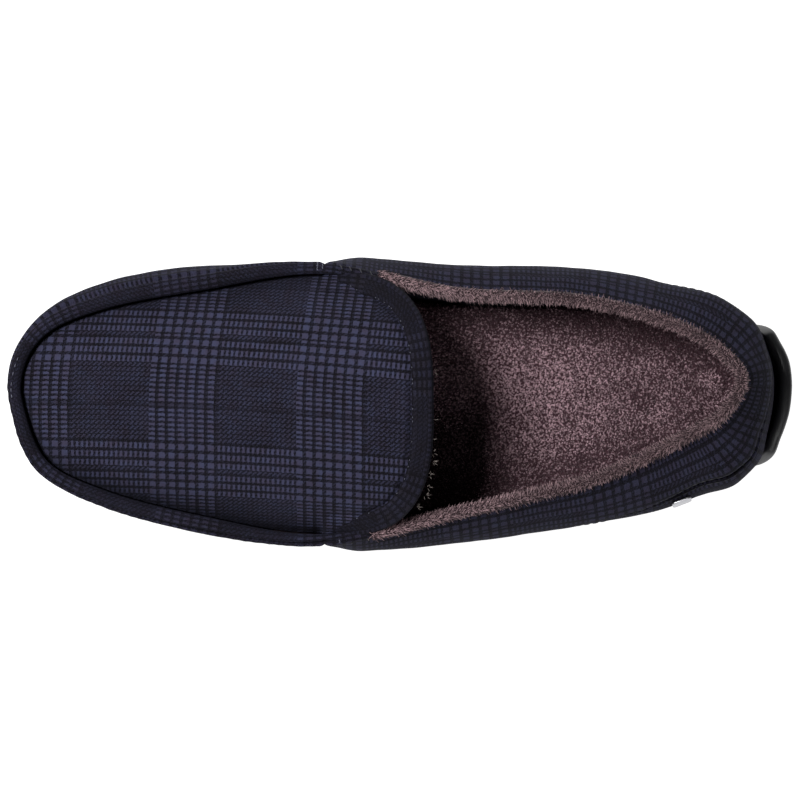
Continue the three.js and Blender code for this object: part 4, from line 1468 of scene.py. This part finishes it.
@dataclass
class Lining:
    """Plush inside the wall, from the footbed up to the turned edge."""

    turns: int = 300
    first: float = 72.0
    planted_from: float = -12.0

    def profile(self, turn: float) -> list[tuple[Vector, float]]:
        """Closed section through the lining."""
        top = LAST.below_top(turn, 7.0)
        front: list[tuple[Vector, float]] = []
        for height in steps(12, 0.1, top):
            wave = 0.5 * soft_noise(Vector((LAST.cloth_x(turn), height * 50, turn // 180 * 40)), 14.0, 4.0)
            front.append((LAST.offset(turn, height, -LAST.thickness(turn, height) - 1.3 + wave), height * 50))
        back = [
            (LAST.offset(turn, height, -LAST.thickness(turn, height) - 0.1), height * 50)
            for height in steps(12, 0.1, top)
        ]
        return front + back[::-1]

    def build(self, finishes: Materials) -> list[bpy.types.Object]:
        """Makes the lining and its pile."""
        turns = steps(self.turns, self.first, 360 - self.first)
        carrier = wrap("wall_lining", turns, self.profile, False)
        comb, growth, shade = [], [], []
        middle = LAST.to_frame(Vector((190.0, 2.0, 30.0)))
        for vert in carrier.data.vertices:
            inward = (middle - vert.co).dot(vert.normal) > 0
            stray = noise.noise_vector(vert.co * 1000 / 16)
            comb.append(Vector((0, 0, -0.9)) + 0.6 * stray)
            growth.append(1.0 if inward and vert.co.x * 1000 > self.planted_from else 0.0)
            shade.append(0.0)
        write_values(carrier, "comb", comb)
        write_values(carrier, "growth", growth)
        write_values(carrier, "shade", shade)
        dress(carrier, finishes.plush)
        tufts = Pile(1.8, 0.42, 1.6, 0.6, 0.6, 31).grow(carrier, "wall_lining_pile", finishes.plush)
        ride(carrier, "plush", "upper")
        return [carrier, ride(tufts, "plush", "upper")]


@dataclass
class Footbed:
    """Padded insole covered in plush, with a brushed whorl at the heel and painted light and shade in the pile's
    colour.
    """

    rows: int = 240
    columns: int = 60
    thickness: float = 5.0
    cup: float = 1.2
    rim: float = 1.4
    whorl: tuple[float, float] = (712.0, 381.0)
    # Middle of the painted pool of light on the pile, as a pixel
    bright: tuple[float, float] = (545.0, 392.0)

    def place(self, i: int, j: int, under: bool) -> tuple[Vector, tuple[float, float]]:
        """Corner of the footbed.

        Args:
            i: column, from the lateral side.
            j: row, from the toe.
            under: on its flat underside.

        Returns:
            The point and its cloth coordinates.
        """
        turn = mix(0, 180, j / self.rows)
        inset = LAST.wall_thickness + LAST.clearance
        lateral = LAST.sole_side(-turn, -inset, 0)
        medial = LAST.sole_side(turn, -inset, 0)
        point = lateral.lerp(medial, i / self.columns)
        base = LAST.sole_top(point.x) + LAST.clearance
        half = (medial - lateral).length / 2
        rim = half * (1 - abs(2 * i / self.columns - 1))
        end = min(point.x - LAST.sole_side(0, -inset, 0).x, LAST.sole_side(180, -inset, 0).x - point.x)
        edge = min(rim, max(0.0, end) * 1.3)
        point.z = base
        if not under:
            share = i / self.columns
            crest = self.thickness - self.cup * math.sin(math.pi * share)
            lumps = 0.5 * soft_noise(point, 24.0, 9.0) + 0.22 * soft_noise(point, 7.0, 10.0)
            puff = 1.1 * hill((point - LAST.from_photo(*self.whorl)).xy.length, 0.0, 5.0)
            round_off = min(1.0, edge / self.rim)
            point.z += (crest + lumps + puff) * math.sqrt(max(0.0, 1 - (1 - round_off) ** 2))
        return point, (point.x, point.y)

    def comb_at(self, place: Vector) -> Vector:
        """Direction the pile leans in, with patches and the whorl.

        Args:
            place: point of the frame in metres.

        Returns:
            A direction.
        """
        patch = noise.noise_vector(place * 1000 / 21) + 0.7 * noise.noise_vector(place * 1000 / 7)
        lean = Vector((patch.x + 0.25, patch.y, 0))
        centre = LAST.to_frame(LAST.from_photo(*self.whorl))
        away = Vector((place.x - centre.x, place.y - centre.y, 0))
        share = hill(away.length * 1000, 5.0, 4.0)
        swirl = Vector((-away.y, away.x, 0)).normalized() + away.normalized() * 0.6
        return lean.lerp(swirl * 1.4, share)

    def pile_light_and_shade(self, place: Vector) -> float:
        """Painted light and shade of the pile: a painted pool of light over the middle of the footbed, painted shade
        along the walls, and a darkening overall that grows towards the heel.

        Args:
            place: point of the frame in metres.

        Returns:
            The share that is added to the pile's shade.
        """
        point = place * 1000 - LAST.shift()
        turn = math.degrees(math.acos(max(-1.0, min(1.0, 1 - 2 * point.x / LAST.length))))
        medial, lateral = LAST.sole_side(turn, 0, 0).y, LAST.sole_side(-turn, 0, 0).y
        near = min(medial - point.y, point.y - lateral)
        centre = point - LAST.from_photo(*self.bright)
        # Painted light: a pool of light over the middle of the footbed
        painted_light = 0.3 * hill(math.hypot(centre.x / 30, centre.y / 24), 0.0, 1.0)
        # Darker overall, and more so towards the heel
        dimmed_to_heel = 0.1 + 0.12 * smoothstep(point.x, 195.0, 235.0)
        # Painted shade along the walls, fading out 24 mm from them
        return painted_light - dimmed_to_heel - 0.42 * (1 - smoothstep(near, 6.0, 24.0))

    def build(self, finishes: Materials) -> list[bpy.types.Object]:
        """Makes the footbed and its pile."""
        bm = bmesh.new()
        lay_grid(bm, self.columns, self.rows, lambda i, j: self.place(i, j, False))
        lay_grid(bm, self.columns, self.rows, lambda i, j: self.place(i, j, True))
        bed = finish_mesh("footbed", bm)
        comb, growth, shade = [], [], []
        throat = LAST.tongue_edge(0).x - 22 + LAST.shift().x
        whorl = LAST.to_frame(LAST.from_photo(*self.whorl))
        for vert in bed.data.vertices:
            comb.append(self.comb_at(vert.co))
            shown = smoothstep(vert.co.x * 1000, throat - 6, throat + 4)
            growth.append(shown if vert.normal.z > 0.2 else 0.0)
            away = (vert.co - whorl).xy.length * 1000
            ring = 0.22 * (1 - smoothstep(away, 3.4, 5.4)) - 0.2 * hill(away, 6.0, 1.2)
            # The whorl's ring is the pile's own tone; the rest is painted light and shade
            shade.append(ring + self.pile_light_and_shade(vert.co))
        write_values(bed, "comb", comb)
        write_values(bed, "growth", growth)
        write_values(bed, "shade", shade)
        dress(bed, finishes.plush)
        tufts = Pile(1.15, 0.55, 2.6, 0.3, 0.75, 51).grow(bed, "footbed_pile", finishes.plush)
        ride(bed, "plush", "insole")
        return [bed, ride(tufts, "plush", "insole")]


@dataclass
class Counter:
    """Cloth panel sewn around the heel, with two rows of topstitching at its seam."""

    turns: int = 300
    rows: int = 16

    def skin(self, turn: float, distance: float, swell: float) -> list[tuple[Vector, float]]:
        """One face of the panel."""
        top = LAST.seam_height(turn) - LAST.seam_allowance
        tall = LAST.wall_height(turn)
        corners = []
        for share in steps(self.rows, 0, 1):
            height = mix(LAST.counter_foot, top, share)
            below = (top - height) * tall
            groove = -0.25 * hill(below, 1.6, 0.5) - 0.2 * hill(below, 0.0, 0.6)
            wave = 0.3 * soft_noise(Vector((LAST.cloth_x(turn), below, turn // 180 * 30)), 13.0, 12.0)
            point = LAST.offset(turn, height, distance + swell * (groove + wave * smoothstep(below, 1, 6)))
            corners.append((point, Upper.band_top - (1 - height) * tall))
        return corners

    def profile(self, turn: float) -> list[tuple[Vector, float]]:
        """Closed section through the panel."""
        outer = self.skin(turn, LAST.clearance + LAST.counter_thickness, 1.0)
        return outer + self.skin(turn, LAST.clearance, 0.0)[::-1]

    def build(self, finishes: Materials) -> list[bpy.types.Object]:
        """Makes the panel and its stitches."""
        spread = LAST.counter_spread
        turns = steps(self.turns, 180 - spread, 180 + spread)
        panel = wrap("heel_panel", turns, self.profile, False)
        # The counter's darker check is partly painted shade
        ride(dress(panel, finishes.rolled_check), "check_cloth", "heel_counter")
        seam = Seam("heel_stitches", finishes.dark_thread, 0.24)
        stand = LAST.clearance + LAST.counter_thickness
        low, high = [], []
        for turn in steps(1400, 180 - spread + 1, 180 + spread - 1):
            tall = LAST.wall_height(turn)
            edge = LAST.seam_height(turn)
            low.append(LAST.offset(turn, edge - LAST.seam_allowance - 1.6 / tall, stand - 0.2))
            above = edge + 1.6 / tall
            high.append(LAST.offset(turn, above, LAST.padding(turn, above) + 0.05))
        seam.run(low, 2.2, 0.9)
        seam.run(high, 2.2, 0.9)
        return [panel, seam.make()]


@dataclass
class Outsole:
    """Moulded sole: stepped side, heel cup with a rolled lip, grip teeth and chevron tread."""

    turns: int = 720
    wall: float = 2.3
    lip: float = 1.1
    lip_inside: float = 1.3
    bevel: float = 1.3
    side_groove: float = 0.8
    tread_depth: float = 1.9
    tread_rim: float = 7.0
    tooth_radius: float = 0.85
    tooth_pitch: float = 2.35
    tooth_count: int = 9
    tooth_height: float = 9.0

    def cup_point(self, turn: float, share: float) -> Vector:
        """Point of the cup's outer face; share is 0 at the sole and 1 at its top."""
        outside = LAST.cup_distance(turn, share) + self.wall
        rolled = smoothstep(share, 0.6, 0.9) - 0.5 * hill(share, 0.6, 0.1)
        return LAST.offset(turn, share * LAST.cup_height(turn), outside + self.lip * rolled * LAST.cup_share(turn))

    def profile(self, turn: float) -> list[Vector]:
        """Section from the tread's rim over the cup to the sole's inside."""
        inside = LAST.cup_distance(turn)
        outside = inside + self.wall
        x = LAST.wall(turn, 0).x
        bottom, top = LAST.sole_bottom(x), LAST.sole_top(x)
        corners = [LAST.sole_side(turn, -self.tread_rim, bottom + self.tread_depth)]
        corners.append(LAST.sole_side(turn, -self.tread_rim, bottom))
        corners.append(LAST.sole_side(turn, -self.tread_rim / 2, bottom))
        for angle in steps(4, 0, math.pi / 2):
            reach = outside - self.bevel * (1 - math.sin(angle))
            corners.append(LAST.sole_side(turn, reach, bottom + self.bevel * (1 - math.cos(angle))))
        for share, inset in ((0.34, 0), (0.42, 0), (0.46, 0.6), (0.5, 1), (0.62, 1), (0.66, 0.6), (0.7, 0), (0.85, 0)):
            corners.append(LAST.sole_side(turn, outside - inset * self.side_groove, mix(bottom, top, share)))
        for share in steps(12, 0, 1):
            corners.append(self.cup_point(turn, share))
        height = LAST.cup_height(turn)
        up, _, out = LAST.axes(turn, height)
        lip = self.lip * LAST.cup_share(turn)
        inner = self.lip_inside * LAST.cup_share(turn)
        half = (self.wall + lip + inner) / 2
        middle = LAST.offset(turn, height, LAST.cup_distance(turn, 1) + self.wall + lip - half)
        for angle in steps(8, 0, math.pi)[1:]:
            corners.append(middle + (out * math.cos(angle) + up * math.sin(angle) * 0.7) * half)
        for low in (0.9, 0.75, 0.5, 0.25, 0.0):
            thicker = inner * smoothstep(low, 0.6, 1.0)
            corners.append(LAST.offset(turn, low * height, LAST.cup_distance(turn, low) - thicker))
        corners.append(LAST.sole_side(turn, inside, top))
        return corners

    def build(self, finishes: Materials) -> list[bpy.types.Object]:
        """Makes the moulding."""
        turns = steps(self.turns, 0, 360)
        loops = [self.profile(turn) for turn in turns]
        half = self.turns // 2
        bm = bmesh.new()
        lay_grid(bm, self.turns, len(loops[0]) - 1, lambda i, j: (loops[i][j], (turns[i], j)))

        def disc(row: int, height: Callable[[float], float]) -> Place:
            """Grid between the two sides of a loop."""

            def place(i: int, j: int) -> tuple[Vector, tuple[float, float]]:
                """Corner between the lateral and the medial side."""
                lateral, medial = loops[(self.turns - j) % self.turns][row], loops[j][row]
                point = lateral.lerp(medial, i / 6)
                if 0 < i < 6:
                    point.z = height(point.x)
                return point, (point.x, point.y)

            return place

        lay_grid(bm, 6, half, disc(0, lambda x: LAST.sole_bottom(x) + self.tread_depth))
        lay_grid(bm, 6, half, disc(len(loops[0]) - 1, LAST.sole_top))
        body = ride(dress(finish_mesh("sole_moulding", bm), finishes.rubber), "sole_rubber", "outsole")
        return [body, self.tread(finishes), self.teeth(finishes)]

    def tread(self, finishes: Materials) -> bpy.types.Object:
        """Chevron blocks between the grooves."""
        pitch, groove, slope = 8.4, 2.6, 0.32
        cuts: list[float] = []
        for first, last in ((0.13, 0.43), (0.70, 0.90)):
            count = int((last - first) * LAST.length / pitch)
            cuts += [first * LAST.length + k * pitch for k in range(count)]
        ends = sorted(cuts)
        starts = [8.0] + [cut + groove for cut in ends]
        stops = ends + [LAST.length - 12.0]
        bm = bmesh.new()
        for start, stop in zip(starts, stops):
            parts = max(1, int((stop - start) / 6))

            def place(i: int, j: int, first: float = start, last: float = stop, parts: int = parts) -> Any:
                """Corner of one block's face."""
                share = abs(2 * i / 16 - 1)
                middle = mix(first, last, j / parts)
                swept = smoothstep(middle, 20, 34) * (1 - smoothstep(middle, LAST.length - 24, LAST.length - 13))
                x = middle + slope * 26 * share * swept
                x = min(x, LAST.length - 10.5)
                turn = math.degrees(math.acos(max(-1.0, min(1.0, 1 - 2 * x / LAST.length))))
                medial = LAST.sole_side(turn, 0, 0).y - self.tread_rim + 0.4
                lateral = LAST.sole_side(-turn, 0, 0).y + self.tread_rim - 0.4
                if medial < lateral:
                    medial = lateral = (medial + lateral) / 2
                y = mix(lateral, medial, i / 16)
                return Vector((x, y, LAST.sole_bottom(x))), (x, y)

            made = lay_grid(bm, 16, parts, place)
            faces = list({face for vert in made for face in vert.link_faces})
            pushed = bmesh.ops.extrude_face_region(bm, geom=faces, use_keep_orig=True)
            tops = [one for one in pushed["geom"] if isinstance(one, bmesh.types.BMVert)]
            bmesh.ops.translate(bm, verts=tops, vec=(0, 0, (self.tread_depth + 0.3) / 1000))
        piece = finish_mesh("tread_blocks", bm)
        edge = piece.modifiers.new("edge", "BEVEL")
        edge.width = 0.0003
        edge.segments = 2
        edge.limit_method = "ANGLE"
        return ride(dress(piece, finishes.rubber), "sole_rubber", "outsole")

    def teeth(self, finishes: Materials) -> bpy.types.Object:
        """Grip teeth at the outer back of the heel."""
        bm = bmesh.new()
        turn = 184.0
        for _ in range(self.tooth_count):
            place = self.cup_point(turn, 0.45) - LAST.axes(turn, 0.1)[2] * (0.15 * self.tooth_radius)
            matrix = Matrix.Translation(LAST.to_frame(place))
            made = bmesh.ops.create_cone(
                bm, cap_ends=True, segments=12, radius1=self.tooth_radius / 1000,
                radius2=self.tooth_radius / 1000, depth=self.tooth_height / 1000, matrix=matrix,
            )["verts"]
            rims = [e for e in {e for v in made for e in v.link_edges} if e.verts[0].co.z == e.verts[1].co.z]
            bmesh.ops.bevel(
                bm, geom=rims, offset=0.0004, segments=3, affect="EDGES", profile=0.5, material=-1
            )
            reach = (LAST.wall(turn + 0.5, 0.2) - LAST.wall(turn - 0.5, 0.2)).length
            turn += self.tooth_pitch / reach
        return ride(dress(finish_mesh("heel_teeth", bm), finishes.rubber), "sole_rubber", "outsole")


@dataclass
class Stud:
    """Small plain steel plate on the counter."""

    length: float = 7.5
    width: float = 5.5
    thickness: float = 0.7
    corner: float = 1.4

    def build(self, finishes: Materials) -> bpy.types.Object:
        """Makes the plate with rounded corners and a soft rim."""
        bm = bmesh.new()
        size = Matrix.Diagonal((self.length / 1000, self.width / 1000, self.thickness / 1000, 1))
        bmesh.ops.create_cube(bm, size=1, matrix=size)
        upright = [e for e in bm.edges if abs(e.verts[0].co.z - e.verts[1].co.z) > 1e-5]
        bmesh.ops.bevel(
            bm, geom=upright, offset=self.corner / 1000, segments=6, affect="EDGES", profile=0.5, material=-1
        )
        rims = [e for e in bm.edges if e.verts[0].co.z > 0 and e.verts[1].co.z > 0]
        bmesh.ops.bevel(bm, geom=rims, offset=0.00025, segments=3, affect="EDGES", profile=0.5, material=-1)
        up, along, out = LAST.axes(LAST.stud_turn, LAST.stud_rise)
        low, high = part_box("side_stud")
        basis = Matrix((-along, up, out)).transposed().to_4x4()
        bmesh.ops.transform(bm, matrix=Matrix.Translation((low + high) / 2) @ basis, verts=bm.verts)
        return ride(dress(finish_mesh("steel_plate", bm), finishes.steel), "stud_metal", "side_stud")


@dataclass
class HandSewing:
    """Bar tacks, whip stitches and the pale specks that a worker's needle leaves."""

    def build(self, finishes: Materials) -> list[bpy.types.Object]:
        """Makes all loose stitching."""
        upper = Upper()
        tacks = Seam("bar_tacks", finishes.pale_thread, 0.2)
        for turn, reach in ((79.2, 1.9), (80.0, 1.6), (-82.6, 0.9)):
            for k in range(5):
                low, high = mix(0.0, reach, k / 5), mix(0.0, reach, (k + 0.8) / 5)
                sway = 0.12 * math.sin(5 * k + turn)
                tacks.stitch(upper.over_roll(turn + sway, low, 0.1), upper.over_roll(turn - sway, high, 0.1))
        whip = Seam("whip_stitches", finishes.dark_thread, 0.28)
        for turn in (82.6, 84.0, 85.6, 87.2):
            whip.stitch(upper.over_roll(turn, 0.2, 0.2), upper.over_roll(turn + 0.5, 1.2, 0.2))
        specks = Seam("roll_stitches", finishes.pale_thread, 0.16)
        for row in (368, 373, 379, 386, 390, 394):
            place = LAST.from_photo(15.5, row)
            turn = math.degrees(math.atan2(place.y - LAST.outline(0).y, 26.0)) * 0.55
            specks.stitch(upper.over_roll(turn - 0.5, 1.1, 0.05), upper.over_roll(turn + 0.5, 1.1, 0.05))
        return [tacks.make(), whip.make(), specks.make(), self.lint(finishes)]

    def lint(self, finishes: Materials) -> bpy.types.Object:
        """Frayed ends of the lining that peep out behind the tongue and beside the outer tack.

        Args:
            finishes: the shoe's materials.

        Returns:
            The piece.
        """
        fray = Seam("frayed_lining", finishes.lint, 0.12)
        spots = (
            (436, 452, 4), (437, 461, 8), (433, 474, 7), (431, 486, 5), (429, 494, 7), (420, 506, 5), (371, 536, 12),
            (376, 533, 9), (353, 538, 5), (383, 531, 7), (435, 440, 3), (436, 420, 2), (437, 372, 2),
        )
        for k, (column, row, count) in enumerate(spots):
            place = LAST.from_photo(column - 2.5, row)
            near = LAST.tongue(min(place.x, LAST.tongue_edge(0).x), place.y)
            for one in range(count):
                stray = noise.noise_vector(Vector((k * 3.7, one * 2.3, 0.5)))
                turned = Vector((0.8 + stray.x, stray.y * 1.6, 0.25 * stray.z)).normalized()
                root = Vector((place.x, place.y, near.z - 0.9)) + stray * 1.2
                fray.stitch(root, root + turned * (0.9 + 1.1 * abs(stray.z)))
        return fray.make()


# Stage


class Angle(Enum):
    """Fixed directions of the studio's lamps, as place and size in metres."""

    KEY = ((-0.75, 0.36, 1.5), 0.64, 42.0)
    HEEL = ((0.5, -1.3, 1.2), 0.9, 8.0)


@dataclass
class Studio:
    """Pale floor, soft lamps and the camera straight above."""

    height: float = 3.0
    pixel: float = 0.0003706

    def build(self) -> None:
        """Makes floor, lamps, world and camera."""
        scene = bpy.context.scene
        scene.view_settings.view_transform = "Standard"
        bm = bmesh.new()
        bmesh.ops.create_grid(bm, x_segments=4, y_segments=4, size=9)
        floor = finish_mesh("floor", bm)
        material, tree = new_material("pale_floor")
        shader = add_node(
            tree, "ShaderNodeBsdfPrincipled", {},
            {"Base Color": (0.3, 0.3, 0.3, 1.0), "Roughness": 0.9, "Emission Color": (1, 1, 1, 1), "Emission Strength": 1.0},
        )
        add_node(tree, "ShaderNodeOutputMaterial", {}, {"Surface": shader})
        dress(floor, material)
        for angle in Angle:
            place, size, power = angle.value
            light = bpy.data.lights.new(f"lamp_{angle.name.lower()}", "AREA")
            light.energy = power
            light.shape = "DISK"
            light.size = size
            lamp = bpy.data.objects.new(light.name, light)
            lamp.location = place
            lamp.rotation_euler = (Vector((0, 0, 0.03)) - Vector(place)).to_track_quat("-Z", "Y").to_euler()
            scene.collection.objects.link(lamp)
        world = bpy.data.worlds.new("studio")
        world.use_nodes = True
        world.node_tree.nodes["Background"].inputs["Color"].default_value = (1, 1, 1, 1)
        world.node_tree.nodes["Background"].inputs["Strength"].default_value = 0.07
        scene.world = world
        camera = bpy.data.cameras.new("camera")
        camera.lens = camera.sensor_width * (self.height - 0.035) / (800 * self.pixel)
        viewer = bpy.data.objects.new("camera", camera)
        viewer.location = (-0.5 * self.pixel, 5.5 * self.pixel, self.height)
        scene.collection.objects.link(viewer)
        scene.camera = viewer


def main() -> None:
    """Builds the slipper and its studio in order."""
    logging.basicConfig(level=logging.INFO, format="%(name)s: %(message)s")
    finishes = Materials()
    for maker in (
        Outsole(), Footbed(), Lining(), Upper(), Plug(), ThroatBinding(), PlushCollar(), Counter(), Stud(),
        HandSewing(),
    ):
        maker.build(finishes)
        log.info("%s is done", type(maker).__name__)
    Studio().build()


if __name__ == "__main__":
    main()
